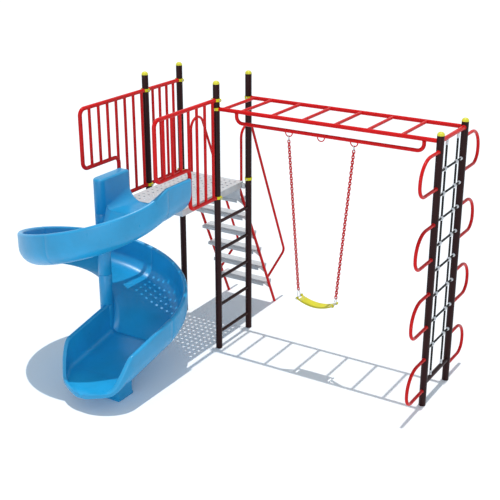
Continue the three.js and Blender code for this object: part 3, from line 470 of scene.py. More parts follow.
def injection_plastic(tree, coords, value, rough):
    """Injection-moulded nylon or polyethylene: smooth, even and slightly waxy"""
    cloud = noise(tree, coords, 30, 3)
    return {
        "Base Color": mottled(tree, cloud, value, 0.93, 1.05),
        "Roughness": span(tree, cloud, rough - 0.04, rough + 0.08),
        "Normal": bump(tree, noise(tree, coords, 2.5, 2), 0.03, 0.4),
        "IOR": 1.5}


def zinc_plate(tree, coords):
    """Hot-dip galvanised steel: grey metal with the pale crystal spangle of zinc"""
    spangle = add(tree, "ShaderNodeTexVoronoi", inputs={"Vector": coords, "Scale": 1000 / 6}).outputs["Color"]
    grey = add(tree, "ShaderNodeSeparateColor", inputs={"Color": spangle}).outputs["Red"]
    return {
        "Base Color": ramp(tree, grey, (0.0, linear("9EA3A8")), (1.0, linear("D3D7DA"))),
        "Roughness": span(tree, grey, 0.3, 0.45),
        "Metallic": 1.0}


def grip_coating(tree, coords, value):
    """Plastisol dip coating on steel: matt, thick and slightly uneven, with a fine grip grain"""
    cloud = noise(tree, coords, 140, 4, 0.6)
    grit = noise(tree, coords, 2.2, 3)
    return {
        "Base Color": mottled(tree, cloud, value, 0.9, 1.06),
        "Roughness": span(tree, grit, 0.5, 0.68),
        "Normal": bump(tree, grit, 0.15, 0.5, bump(tree, cloud, 0.8, 0.3))}


def laid_rope(tree, coords, value):
    """Twisted polyester rope: dull yarns laid in strands, with a soft fuzz"""
    yarn = add(tree, "ShaderNodeTexWave", {"wave_type": "BANDS", "bands_direction": "DIAGONAL"}, {
        "Vector": coords, "Scale": 1000 / 9, "Distortion": 1.5, "Detail": 2.0}).outputs["Fac"]
    return {
        "Base Color": mottled(tree, yarn, value, 0.7, 1.7, 0.1, 0.9),
        "Normal": bump(tree, yarn, 0.5, 0.6),
        "Roughness": 0.85, "Sheen Weight": 0.05}


def belt_rubber(tree, coords, value):
    """Moulded rubber belt: soft sheen, a fine woven print of its mould and darkened scuffs"""
    cloud = noise(tree, coords, 60, 5, 0.6)
    threads = [add(tree, "ShaderNodeTexWave", {"bands_direction": way}, {
        "Vector": coords, "Scale": 1000 / 12}).outputs["Fac"] for way in "XY"]
    return {
        "Base Color": mottled(tree, cloud, value, 0.88, 1.05),
        "Roughness": span(tree, cloud, 0.45, 0.6),
        "Normal": bump(tree, maths(tree, "ADD", *threads), 0.12, 0.4)}


# Slot, maker, colour and roughness of each finish
FINISHES = {
    "powder_coat_maroon": ("post_paint", powder_coat, "post", 0.34),
    "powder_coat_red": ("rail_paint", powder_coat, "rail", 0.28),
    "powder_coat_yellow": ("clamp_paint", powder_coat, "yellow", 0.38),
    "polyethylene_cap": ("cap_plastic", injection_plastic, "cap", 0.36),
    "rotomoulded_polyethylene": ("slide_plastic", moulded_polyethylene, "slide"),
    "plastisol_grey": ("deck_coating", grip_coating, "deck"),
    "plastisol_red_chain": ("chain_coating", grip_coating, "rail"),
    "polyester_rope": ("net_rope", laid_rope, "rope"),
    "nylon_clip": ("net_rope", injection_plastic, "clip", 0.4),
    "moulded_rubber": ("seat_rubber", belt_rubber, "seat"),
    "galvanised_steel": ("zinc_steel", zinc_plate),
}


def finish(name):
    """The material of that name, made once"""
    if name in bpy.data.materials:
        return bpy.data.materials[name]
    maker, *look = FINISHES[name][1:]
    if look:
        look[0] = getattr(bpy.context.scene.tower_colours, look[0])
    material = bpy.data.materials.new(name)
    tree = empty_tree(material)
    coords = add(tree, "ShaderNodeTexCoord").outputs["Object"]
    shader = add(tree, "ShaderNodeBsdfPrincipled", inputs=maker(tree, coords, *look))
    add(tree, "ShaderNodeOutputMaterial", inputs={"Surface": shader.outputs["BSDF"]})
    return material


# The tower's pieces


GUARD_TOP = 2522
BARS_HEIGHT = 2440
# Plan position, foot and top of each post; the front left one hangs from the deck over the slide
POSTS = {
    "tower_post_front_left": (-TOWER_LENGTH, 0, 1500, 2700),
    "tower_post_back_left": (-TOWER_LENGTH, TOWER_WIDTH, 0, 2700),
    "tower_post_front_right": (0, 0, 0, 2700),
    "tower_post_back_right": (0, TOWER_WIDTH, 0, 2700),
    "end_post_front": (BARS_LENGTH, 0, 0, 2520),
    "end_post_back": (BARS_LENGTH, TOWER_WIDTH, 0, 2520),
}
POST_WALL = 3
POST_EDGE = 0.8
LADDER_RUNGS = 5
LADDER_FOOT = 170
LADDER_PITCH = 290
LADDER_RADIUS = 16.5
LOW_CROSSBAR = 215
LOW_CROSSBAR_RADIUS = 21
CAP_DOME = 26
CAP_SKIRT = 6
CAP_LIP = 1
CLAMP_PLAY = 0.3
CLAMP_WALL = 5


def post_seat():
    """How far from a post's axis a tube ends on it, and its bead lies"""
    return size("post") / 2 - 0.15, size("post") / 2


def clamp_seat():
    """The same on a clamp"""
    skin = size("post") / 2 + CLAMP_PLAY + CLAMP_WALL
    return skin - 0.05, skin + 0.25


class TOWER_OT_posts(bpy.types.Operator):
    """Builds the six posts with the ladder's rungs and the end frame's crossbars"""
    bl_idname = "tower.posts"
    bl_label = "Posts, ladder and crossbars"

    def execute(self, context):
        outer = size("post") / 2
        inner = outer - POST_WALL
        seats = [post_seat(), post_seat()]
        for name, (x, y, bottom, top) in POSTS.items():
            height = top - CAP_DOME - bottom
            shell = Shell()
            shell.turned(place(x, y, bottom), UP, [
                (inner, 0), (outer - POST_EDGE, 0), (outer, POST_EDGE), (outer, height - POST_EDGE),
                (outer - POST_EDGE, height), (inner, height), (inner, 0)], 48, capped=False)
            if name == "tower_post_front_right":
                for i in range(LADDER_RUNGS):
                    z = LADDER_FOOT + LADDER_PITCH * i
                    shell.rung(place(x, 0, z), place(x, TOWER_WIDTH, z), UP, LADDER_RADIUS,
                               [(30, outer), post_seat()])
            shell.piece(name.replace("post", "upright"), "powder_coat_maroon", [name])
        for word, coat, z, radius in (("top", "powder_coat_red", size("bars"), size("rail") / 2),
                                      ("bottom", "powder_coat_maroon", LOW_CROSSBAR, LOW_CROSSBAR_RADIUS)):
            shell = Shell()
            shell.rung(place(BARS_LENGTH, 0, z), place(BARS_LENGTH, TOWER_WIDTH, z), UP, radius, seats)
            shell.piece(f"end_crossbar_{word}", coat)
        return {"FINISHED"}


class TOWER_OT_caps(bpy.types.Operator):
    """Builds the domed post caps"""
    bl_idname = "tower.caps"
    bl_label = "Post caps"

    def execute(self, context):
        outer = size("post") / 2 + CAP_LIP
        profile = [(outer - 3, -CAP_SKIRT), (outer - 0.6, -CAP_SKIRT), (outer, -CAP_SKIRT + 0.6), (outer, -2),
                   (outer - 0.4, -0.8), (outer - 0.8, 0.5)]
        profile += [((outer - 1.2) * math.cos(a), CAP_DOME * math.sin(a))
                    for a in [QUARTER * i / 12 for i in range(1, 12)]]
        profile += [(0, CAP_DOME)]
        for name, (x, y, bottom, top) in POSTS.items():
            shell = Shell()
            shell.turned(place(x, y, top - CAP_DOME), UP, profile, 40)
            shell.piece(name.replace("post", "dome"), "polyethylene_cap", [name.replace("post", "cap")])
        return {"FINISHED"}


GUARD_LOW = 1585
# Plan position and height of each clamp, and whether it is turned so that its ears lie along Y
CLAMPS = {
    "guard_clamp_front_left_top": (-TOWER_LENGTH, 0, GUARD_TOP, 0),
    "guard_clamp_front_left_low": (-TOWER_LENGTH, 0, GUARD_LOW, 0),
    "guard_clamp_back_left_top": (-TOWER_LENGTH, TOWER_WIDTH, GUARD_TOP, 0),
    "guard_clamp_back_left_low": (-TOWER_LENGTH, TOWER_WIDTH, GUARD_LOW, 0),
    "guard_clamp_front_right_top": (0, 0, GUARD_TOP, 0),
    "guard_clamp_front_right_low": (0, 0, GUARD_LOW, 0),
    "bar_clamp_front": (0, 0, BARS_HEIGHT, 1),
    "bar_clamp_back": (0, TOWER_WIDTH, BARS_HEIGHT, 1),
    "deck_clamp_back_right": (0, TOWER_WIDTH, 1625.3, 1),
}
CLAMP_HEIGHT = 27
CLAMP_EDGE = 1.2
EAR_SPLIT = 1
EAR_WALL = 6
EAR_REACH = 13
EAR_BEND = 3
BOLT_REACH = 12.5


def clamp_half(shell, centre, turn):
    """Half of a split clamp: a pressed strap round the post with an ear on each side"""
    inner = size("post") / 2 + CLAMP_PLAY
    outer = inner + CLAMP_WALL
    back = EAR_SPLIT + EAR_WALL
    line = [(outer + EAR_REACH, EAR_SPLIT), (outer + EAR_REACH, back)]
    line += [(outer + EAR_BEND * (1 - math.sin(a)), back + EAR_BEND * (1 - math.cos(a)))
             for a in (0.3, 0.9, 1.4)]
    start = math.asin((back + EAR_BEND) / outer)
    line += arc(0, 0, outer, start, math.pi - start, 20)
    line += [(-x, y) for x, y in reversed(line[:5])]
    start = math.asin(EAR_SPLIT / inner)
    line += arc(0, 0, inner, math.pi - start, start, 20)
    spin = Matrix.Rotation(turn, 3, "Z")
    levels = ((0, CLAMP_EDGE), (CLAMP_EDGE, 0), (CLAMP_HEIGHT - CLAMP_EDGE, 0), (CLAMP_HEIGHT, CLAMP_EDGE))
    shell.loft([[centre + spin @ Vector((x, y, z - CLAMP_HEIGHT / 2)) for x, y in inset(line, draw)]
                for z, draw in levels])


def ear_bolt(shell, centre, axis):
    """A bolt through both ears: a washer and a button head on each side"""
    for way in (axis, -axis):
        face = centre + way * (EAR_SPLIT + EAR_WALL)
        shell.turned(face, way, [(8.28, 0), (8.28, 1.2)], 20)
        shell.turned(face + way * 1.2, way, [(6.12, 0), (5.904, 2), (4.68, 3.6), (2.52, 4.5), (0, 4.7)], 20)


class TOWER_OT_clamps(bpy.types.Operator):
    """Builds the split clamps and their bolts"""
    bl_idname = "tower.clamps"
    bl_label = "Clamps"

    def execute(self, context):
        bolts = Shell()
        for name, (x, y, z, quarter) in CLAMPS.items():
            shell = Shell()
            for half in (0, 1):
                clamp_half(shell, place(x, y, z), quarter * QUARTER + half * math.pi)
            shell.piece(name.replace("clamp", "strap"), "powder_coat_yellow", [name], smooth=30)
            spin = Matrix.Rotation(quarter * QUARTER, 3, "Z")
            for side in (-1, 1):
                ear = spin @ Vector((side * (size("post") / 2 + BOLT_REACH), 0, 0))
                ear_bolt(bolts, place(x, y, z) + ear, spin @ ALONG_Y)
        bolts.piece("clamp_bolts", "galvanised_steel", smooth=40)
        return {"FINISHED"}


GUARD_RAISED = 1975
GUARD_REACH = 955
GUARD_CUT = 450
GUARD_LAST_BAR = 65.15
# A guard's bar ends inside its rails, this far from their axes
BAR_STOP = 12


class TOWER_OT_guards(bpy.types.Operator):
    """Builds the two slide guards and the side guard"""
    bl_idname = "tower.guards"
    bl_label = "Guards"

    def execute(self, context):
        rail = size("rail") / 2
        bar = size("bar") / 2
        top, low, high = size("guard"), GUARD_LOW, GUARD_RAISED
        reach, cut = GUARD_REACH, GUARD_CUT
        seats = [(BAR_STOP, rail)] * 2
        end = clamp_seat()[0]
        border = [(-end, top), (-reach, top), (-reach, high), (-cut, high), (-cut, low), (-end, low)]
        uprights = [(-cut - (reach - cut) * i / 4, high) for i in (1, 2, 3)]
        uprights += [(-GUARD_LAST_BAR - (cut - GUARD_LAST_BAR) * i / 3, low) for i in (0, 1, 2)]
        for name, x in (("slide_guard_left", -TOWER_LENGTH), ("slide_guard_right", 0)):
            shell = Shell()
            shell.pipe(bent([(x, *corner) for corner in border], 60, 12), rail, 28)
            for y, bottom in uprights:
                shell.rung(place(x, y, bottom), place(x, y, top), ALONG_Y, bar, seats, 20, 2.2)
            shell.bar(place(x, -cut, high - 58), place(x, -cut, top - BAR_STOP), bar, 20)
            shell.weld(place(x, -cut, top), ALONG_Y, -UP, rail, bar)
            for z in (top, low):
                shell.weld(place(x, 0, z), UP, -ALONG_Y, clamp_seat()[1], rail - 1, POST_WELD)
            shell.piece(name + "_frame", "powder_coat_red", [name])
        shell = Shell()
        x = -TOWER_LENGTH
        for z in (top, low):
            shell.rung(place(x, 0, z), place(x, TOWER_WIDTH, z), UP, rail, [clamp_seat()] * 2, 28, shy=1)
        for i in range(1, 5):
            y = TOWER_WIDTH * i / 5
            shell.rung(place(x, y, low), place(x, y, top), ALONG_Y, bar, seats, 20, 2.2)
        shell.piece("side_guard_frame", "powder_coat_red", ["side_guard"])
        return {"FINISHED"}


DECK_LEFT, DECK_RIGHT = -TOWER_LENGTH + 75, -75
DECK_FRONT, DECK_BACK = -469.3, TOWER_WIDTH + 20
DECK_WALL = 4
DECK_SKIRT = 65
RISER_FACE = TOWER_WIDTH - 33
RISER_WALL = 3
LUG_HEIGHT = 1538
LUG_WALL = 6
HEX_HEAD = [(7.5, 0), (7.5, 5), (6, 6.5), (0, 6.8)]


class TOWER_OT_deck(bpy.types.Operator):
    """Builds the folded and punched deck with its riser plate and lugs"""
    bl_idname = "tower.deck"
    bl_label = "Deck"

    def execute(self, context):
        top = size("deck")
        self.plate(top)
        # Skirt: the folded edge, with a rounded bend at the top and a small return at the bottom
        profile = [(0, -DECK_SKIRT), (0, -5)]
        profile += [(5 - 5 * math.cos(a), -5 + 5 * math.sin(a)) for a in (0.5, 1.0, 1.4)]
        profile += [(8, -0.2), (8, -3.8), (4, -5.5), (4, -61), (14, -61), (14, -DECK_SKIRT)]
        corners = ((DECK_LEFT, DECK_FRONT, 1, 1), (DECK_RIGHT, DECK_FRONT, -1, 1),
                   (DECK_RIGHT, DECK_BACK, -1, -1), (DECK_LEFT, DECK_BACK, 1, -1))
        shell = Shell()
        shell.loft([[place(x + wx * d, y + wy * d, top + h) for d, h in profile] for x, y, wx, wy in corners],
                   closed=True)
        shell.piece("deck_skirt", "plastisol_grey", smooth=40)
        # Riser: a bare folded plate that hangs below the deck's back edge, in front of the stair's head
        face, low, high = RISER_FACE, top - 190, top - 60
        wall = RISER_WALL
        shell = Shell()
        shell.drawn([(face, high), (face, low + 4), (face + 1.2, low + 1.2), (face + 4, low),
                     (face + 18, low), (face + 18, low + wall), (face + 5, low + wall),
                     (face + wall, low + 5), (face + wall, high)], DECK_LEFT + 5, DECK_RIGHT - 5)
        shell.piece("deck_riser_plate", "plastisol_grey", smooth=40)
        # Lugs between the skirt and the posts: two cheeks and an end plate, with two bolts
        lugs = Shell()
        bolts = Shell()
        low, high = LUG_HEIGHT - 22, LUG_HEIGHT + 22
        for x, way in ((-TOWER_LENGTH, 1), (0, -1)):
            start, end = x + way * 31, x + way * 76
            for y in (0, TOWER_WIDTH):
                for cheek in (y - 17, y + 17):
                    lugs.drawn(rectangle(cheek - LUG_WALL / 2, cheek + LUG_WALL / 2, low, high), start, end)
                lugs.drawn(rectangle(y - 20, y + 20, low, high), end - way * LUG_WALL, end)
                for z in (LUG_HEIGHT - 11, LUG_HEIGHT + 11):
                    bolts.turned(place(end + way, y, z), ALONG_X * way, HEX_HEAD, 6)
        lugs.piece("deck_lugs", "plastisol_grey", bevel=1)
        bolts.piece("deck_bolts", "galvanised_steel")
        return {"FINISHED"}

    def plate(self, top):
        """The deck's top with its square grid of round holes, filled between flat curves"""
        flat = bpy.data.curves.new("deck_outline", "CURVE")
        flat.dimensions = "2D"
        flat.fill_mode = "BOTH"
        flat.bevel_depth = 0.0005
        flat.extrude = DECK_WALL / 2000 - flat.bevel_depth
        middle = Vector(((DECK_LEFT + DECK_RIGHT) / 2, (DECK_FRONT + DECK_BACK) / 2))
        pitch = size("hole_pitch")
        row_pitch = size("hole_row")
        rows = int((DECK_BACK - DECK_FRONT - 70) / row_pitch) + 1
        columns = int((DECK_RIGHT - DECK_LEFT - 60) / pitch) + 1
        outline = [rounded_rectangle(DECK_LEFT, DECK_RIGHT, DECK_FRONT, DECK_BACK, 6, 4)]
        for row in range(rows):
            y = middle.y + (row - (rows - 1) / 2) * row_pitch
            for i in range(columns):
                x = middle.x + (i - (columns - 1) / 2) * pitch
                outline.append(arc(x, y, size("hole") / 2, 0, TURN * 15 / 16, 15))
        for line in outline:
            spline = flat.splines.new("POLY")
            spline.points.add(len(line) - 1)
            for point, (x, y) in zip(spline.points, line):
                point.co = ((x - middle.x) / 1000, (y - middle.y) / 1000, 0, 1)
            spline.use_cyclic_u = True
        holder = linked("deck_outline", flat)
        mesh = worked_out(holder)
        bpy.data.objects.remove(holder)
        mesh.transform(Matrix.Translation(place(middle.x, middle.y, top - DECK_WALL / 2) / 1000))
        finish_piece(linked("deck_plate", mesh), "plastisol_grey", ["deck_tray"])


STAIR_MIDDLE = (DECK_LEFT + DECK_RIGHT) / 2
STAIR_HALF = 300
STAIR_FOOT = TOWER_WIDTH + 718
STAIR_HEAD = TOWER_WIDTH - 34
STAIR_TOP = 1575.7
STRINGER_RADIUS = 15
TREADS = 6
TREAD_FIRST = 285
TREAD_PITCH = 220
TREAD_HALF = 284.7
GUSSET_DROP = 95
GUSSET_WALL = 5
HANDRAIL_RADIUS = 13.5
HANDRAIL_FOOT = 337


def stair_line(z):
    """Where the stringers' centre line runs at a height"""
    return STAIR_FOOT + (STAIR_HEAD - STAIR_FOOT) * z / STAIR_TOP


class TOWER_OT_stair(bpy.types.Operator):
    """Builds the stair: stringers, treads with their gussets, and handrails"""
    bl_idname = "tower.stair"
    bl_label = "Stair and handrails"

    def execute(self, context):
        tilt = Vector((0, stair_line(100) - stair_line(0), 100)).normalized()
        steps = [TREAD_FIRST + TREAD_PITCH * i for i in range(TREADS)]
        for side, word in SIDES:
            x = STAIR_MIDDLE + side * STAIR_HALF
            shell = Shell()
            # The tube is cut level at the floor and under the deck
            rings = []
            for level in (0, STAIR_TOP):
                ring = []
                for angle in [TURN * k / 28 for k in range(28)]:
                    spoke = ALONG_X * math.cos(angle) + tilt.cross(ALONG_X) * math.sin(angle)
                    point = place(x, stair_line(level), level) + spoke * STRINGER_RADIUS
                    ring.append(point + tilt * (level - point.z) / tilt.z)
                rings.append(ring)
            shell.loft(rings)
            shell.piece(f"stringer_tube_{word}", "powder_coat_red", [f"stair_stringer_{word}"])
            shell = Shell()
            head = (x, DECK_BACK + 12.8)
            knee = (x, TOWER_WIDTH + 922, 538)
            foot = (x, stair_line(HANDRAIL_FOOT) + 14, HANDRAIL_FOOT + 7)
            joint = place(x, stair_line(HANDRAIL_FOOT), HANDRAIL_FOOT)
            shell.pipe(bent([(*head, 1525), (*head, 2542), knee, foot], [112, 50], 16), HANDRAIL_RADIUS)
            shell.weld(joint, tilt, place(*knee) - joint, STRINGER_RADIUS, HANDRAIL_RADIUS)
            shell.piece(f"handrail_tube_{word}", "powder_coat_red", [f"handrail_{word}"])
            shell = Shell()
            middle = STAIR_MIDDLE + side * (STAIR_HALF - 13.5)
            for top in [step - 3.3 for step in steps]:
                corners = [(stair_line(top) - 80.7, top), (stair_line(top) + 80.7, top),
                           (stair_line(top - GUSSET_DROP), top - GUSSET_DROP)]
                shell.drawn(corners, middle - GUSSET_WALL / 2, middle + GUSSET_WALL / 2)
            shell.piece(f"tread_gussets_{word}", "plastisol_grey", bevel=0.8)
        bolts = Shell()
        section = [(-84, -30), (-84, -3), (-83.1, -0.9), (-81, 0), (81, 0), (83.1, -0.9), (84, -3), (84, -30),
                   (81, -30), (81, -3.5), (80.5, -3), (-80.5, -3), (-81, -3.5), (-81, -30)]
        for i, top in enumerate(steps):
            middle = stair_line(top)
            shell = Shell()
            shell.drawn([(middle + y, top + z) for y, z in section],
                        STAIR_MIDDLE - TREAD_HALF, STAIR_MIDDLE + TREAD_HALF)
            # Raised anti-slip beads pressed into the tread
            for y in (-60, -30, 0, 30, 60):
                start, end = (place(STAIR_MIDDLE + x, middle + y, top) for x in (-250, 250))
                shell.bar(start, end, 2.2, 8)
            shell.piece(f"tread_{i + 1}", "plastisol_grey", [f"stair_tread_{i + 1}"], smooth=40)
            for x in (-262, 262):
                for y in (-45, 45):
                    bolts.turned(place(STAIR_MIDDLE + x, middle + y, top), UP,
                                 [(8.5, 0), (8, 1.5), (6, 3), (0, 3.6)], 16)
        bolts.piece("tread_bolts", "galvanised_steel")
        return {"FINISHED"}


RUNGS = [66] + [260 + 314 * i for i in range(6)]
RUNG_RADIUS = 15
BEAM_DROP = 105
BEAM_ENDS = (220, 2040)
BEAM_RADIUS = 17
HANGER_RADIUS = 34
HANGER_ROD = 5
SWING_CENTRE = 1087
SWING_SPREAD = 320
PIVOT_HEIGHT = BARS_HEIGHT - BEAM_DROP - BEAM_RADIUS - HANGER_RADIUS


class TOWER_OT_monkey_bars(bpy.types.Operator):
    """Builds the monkey bars and the swing beam"""
    bl_idname = "tower.monkey_bars"
    bl_label = "Monkey bars and swing beam"

    def execute(self, context):
        rail = size("rail") / 2
        height = size("bars")
        shell = Shell()
        for y, way in ((0, ALONG_Y), (TOWER_WIDTH, -ALONG_Y)):
            shell.rung(place(0, y, height), place(BARS_LENGTH, y, height), UP, rail,
                       [clamp_seat(), post_seat()], 28, shy=1)
            for x in RUNGS:
                shell.weld(place(x, y, height), ALONG_X, way, rail, RUNG_RADIUS)
        for x in RUNGS:
            shell.bar(place(x, 10, height), place(x, TOWER_WIDTH - 10, height), RUNG_RADIUS)
        shell.piece("monkey_bar_ladder", "powder_coat_red", ["monkey_bars"])
        shell = Shell()
        beam = height - BEAM_DROP
        start, end = BEAM_ENDS
        line = [(start, 0, height - 19), (start, 0, beam), (end, 0, beam), (end, 0, height - 19)]
        shell.pipe(bent(line, 60, 14), BEAM_RADIUS)
        for x in BEAM_ENDS:
            shell.weld(place(x, 0, height), ALONG_X, -UP, rail, BEAM_RADIUS, POST_WELD)
        for x in (SWING_CENTRE - SWING_SPREAD, SWING_CENTRE, SWING_CENTRE + SWING_SPREAD):
            # A half ring whose legs run up into the beam
            bow = [(x - HANGER_RADIUS, beam)]
            bow += arc(x, beam - BEAM_RADIUS, HANGER_RADIUS, math.pi, TURN, 20)
            bow += [(x + HANGER_RADIUS, beam)]
            shell.pipe([place(out, 0, up) for out, up in bow], HANGER_ROD, 16)
            for side in (-1, 1):
                leg = place(x + side * HANGER_RADIUS, 0, beam)
                shell.weld(leg, ALONG_X, -UP, BEAM_RADIUS, HANGER_ROD, 1.8)
        shell.piece("swing_beam_tube", "powder_coat_red", ["swing_beam"])
        return {"FINISHED"}


GRIP_TOP = 2355
GRIP_PITCH = 630
GRIP_HEIGHT = 315
GRIP_REACH = 385
GRIP_RADIUS = 15


class TOWER_OT_grip_loops(bpy.types.Operator):
    """Builds the eight grip loops of the end frame"""
    bl_idname = "tower.grip_loops"
    bl_label = "Grip loops"

    def execute(self, context):
        stop, skin = post_seat()
        for word, y, way in (("front", 0, -1), ("back", TOWER_WIDTH, 1)):
            near, far = y + way * stop, y + way * GRIP_REACH
            for row in range(4):
                top = GRIP_TOP - GRIP_PITCH * row
                bottom = top - GRIP_HEIGHT
                shell = Shell()
                corners = ((near, top), (far, top), (far, bottom), (near, bottom))
                line = bent([(BARS_LENGTH, *corner) for corner in corners], [190, 110], 18)
                shell.pipe(line, GRIP_RADIUS)
                for z in (top, bottom):
                    shell.weld(place(BARS_LENGTH, y, z), UP, ALONG_Y * way, skin, GRIP_RADIUS)
                shell.piece(f"grip_tube_{word}_{row + 1}", "powder_coat_red", [f"grip_loop_{word}_{row + 1}"])
        return {"FINISHED"}


NET_TOP = BARS_HEIGHT - 19 - 0.3
NET_LOW = LOW_CROSSBAR + LOW_CROSSBAR_RADIUS + 0.3
NET_LEVELS = [2170 - 216 * i - 2.7 * i * (i - 1) for i in range(8)]
NET_UPRIGHTS = (TOWER_WIDTH / 2 - 127.5, TOWER_WIDTH / 2 + 127.5)
ROPE_RADIUS = 9.8
ROPE_LAY = 75
CLIP_DISC = [(16.5, 0), (17, 2), (16.5, 8), (14.5, 12), (10.5, 14.2), (6, 14.6), (5.5, 12.5), (0, 12.5)]
CLIP_SOCKET = [(11.6, 0), (11.6, 6), (10.8, 8.5), (10, 9)]
NET_BALL = [(12.5, 0), (15.5, 4), (16.2, 11), (15.8, 18), (13.5, 25), (9.5, 29.5), (8.3, 29.8)]
NET_FERRULE = [(10.5, 0), (12, 1.5), (12, 12), (10.8, 14), (10.8, 18), (12, 20), (12, 38),
               (11.2, 43), (8.8, 45.5)]


class TOWER_OT_rope_net(bpy.types.Operator):
    """Builds the rope net with its clips, balls and ferrules"""
    bl_idname = "tower.rope_net"
    bl_label = "Rope net"

    def execute(self, context):
        x = BARS_LENGTH
        runs = [((x, y, NET_LOW + 20), (x, y, NET_TOP - 20)) for y in NET_UPRIGHTS]
        runs += [((x, 45, z), (x, TOWER_WIDTH - 45, z)) for z in NET_LEVELS]
        ropes = Shell()
        for start, end in runs:
            ropes.pipe(stepped(place(*start), place(*end), 4), ROPE_RADIUS, 16, strands=4, lay=ROPE_LAY)
        ropes.piece("net_ropes", "polyester_rope", ["rope_net"], smooth=60)
        clips = Shell()
        for z in NET_LEVELS:
            for y in NET_UPRIGHTS:
                for way in (-1, 1):
                    clips.turned(place(x + way, y, z), ALONG_X * way, CLIP_DISC, 28)
                for dy, dz in ((1, 0), (-1, 0), (0, 1), (0, -1)):
                    clips.turned(place(x, y + dy * 12, z + dz * 12), Vector((0, dy, dz)), CLIP_SOCKET, 20)
            for y, way in ((32.1, 1), (TOWER_WIDTH - 32.1, -1)):
                clips.turned(place(x, y, z), ALONG_Y * way, NET_BALL, 28)
        clips.piece("net_clips", "nylon_clip", smooth=50)
        ferrules = Shell()
        for y in NET_UPRIGHTS:
            for z, way in ((NET_TOP, -1), (NET_LOW, 1)):
                ferrules.turned(place(x, y, z), UP * way, NET_FERRULE, 28)
        ferrules.piece("net_ferrules", "galvanised_steel")
        return {"FINISHED"}


# Slide


HUB_RADIUS = 63
HUB_SEAT = 30
HUB_DOME = 22
SLIDE_RADIUS = 773
SLIDE_X = -737
SLIDE_Y = -819.6
SLIDE_START = -469.6
RIM_START = 1872
ENTRY_RISE = 28
FIN_TOP = RIM_START + 3
QUARTER_DROP = 306
DEPTH = 295
SKIN = 34
WALL = 45
RIM_ROUND = 22
FOOT_ROUND = 55
TURN_STEPS = 30
ARC_STEPS = 8
PIECE_GAP = 0.3
# Corner of the outer wall, outer corner below it and fillet at the inner wall: of the turns, and of the mouth
TURN_CORNERS = (130, 185, 55)
MOUTH_CORNERS = (180, 235, 150)
# The most that an inside corner and the outer corner take of the wall's height
CORNER_ROOM = 0.55
OUTER_ROOM = 0.66


def outer_wall(out, rim, floor, under, corner, outer_corner, wall):
    """From the channel's floor up, over the rolled rim and down to the underside"""
    roll = min(wall / 2, (rim - floor) / 3)
    # A rim that is one half circle has its two arcs meet in one point. The low rim of the nose has both
    # points, so the last 18 rings of the run-out have one point more and its skin shears by a point a ring
    met = 1 if wall <= 2 * roll + 0.3 else 0
    return (arc(out - wall - corner, floor + corner, corner, -QUARTER, 0, ARC_STEPS)
            + arc(out - wall + roll, rim - roll, roll, 2 * QUARTER, QUARTER, 6)
            + arc(out - roll, rim - roll, roll, QUARTER, 0, 6)[met:]
            + arc(out - outer_corner, under + outer_corner, outer_corner, 0, -QUARTER, ARC_STEPS))


def turn_outline(level, rise):
    """Section of a turn: its inner side is a fillet against the hub"""
    floor = level - DEPTH
    under = floor - SKIN
    corner, outer_corner, fillet = TURN_CORNERS
    return ([(HUB_RADIUS - HUB_SEAT, under), (HUB_RADIUS - HUB_SEAT, floor + fillet)]
            + arc(HUB_RADIUS + fillet, floor + fillet, fillet, 2 * QUARTER, 3 * QUARTER, ARC_STEPS)
            + outer_wall(SLIDE_RADIUS, level + rise, floor, under, corner, outer_corner, WALL))


def channel_outline(inner, out, rim, inner_rim, floor, under, inner_wall, corners=TURN_CORNERS):
    """Section of a channel between two walls, whose corners shrink where it gets narrow or low"""
    third = (out - inner) / 3
    wall = min(WALL, third)
    in_wall = min(inner_wall, third)
    room = (out - inner - wall - in_wall) / 2
    corner = min(corners[0], room, (rim - floor) * CORNER_ROOM)
    outer_corner = min(corners[1], third, (rim - under) * OUTER_ROOM)
    fillet = min(corners[2], room, (inner_rim - floor) * CORNER_ROOM)
    roll = min(in_wall / 2, RIM_ROUND, (inner_rim - floor) / 3)
    foot = min(FOOT_ROUND, (inner_rim - under) / 3, third / 2)
    edge = inner + in_wall
    return (arc(inner + foot, under + foot, foot, -QUARTER, -2 * QUARTER, 6)
            + arc(inner + roll, inner_rim - roll, roll, 2 * QUARTER, QUARTER, 6)
            + arc(edge - roll, inner_rim - roll, roll, QUARTER, 0, 6)
            + arc(edge + fillet, floor + fillet, fillet, 2 * QUARTER, 3 * QUARTER, ARC_STEPS)
            + outer_wall(out, rim, floor, under, corner, outer_corner, wall))


def smoothstep(value):
    value = min(max(value, 0.0), 1.0)
    return value * value * (3 - 2 * value)


def entry_rise(angle):
    """The straight entry's rim stands higher and is eased down to the helix in the first degrees"""
    return ENTRY_RISE * (1 - smoothstep(angle / math.radians(20)))


EXIT_INNER = 9
EXIT_RUN = 580
EXIT_FALL = 120
EXIT_LIP = 208
NOSE_REACH = 305
NOSE_DROP = 62
NOSE_RIM = 14
NOSE_TURN = QUARTER * 0.9
NOSE_SMOOTH = 0.6
FOOT_OUT = 490
FOOT_HALF = 82.5
FOOT_LENGTH = 215


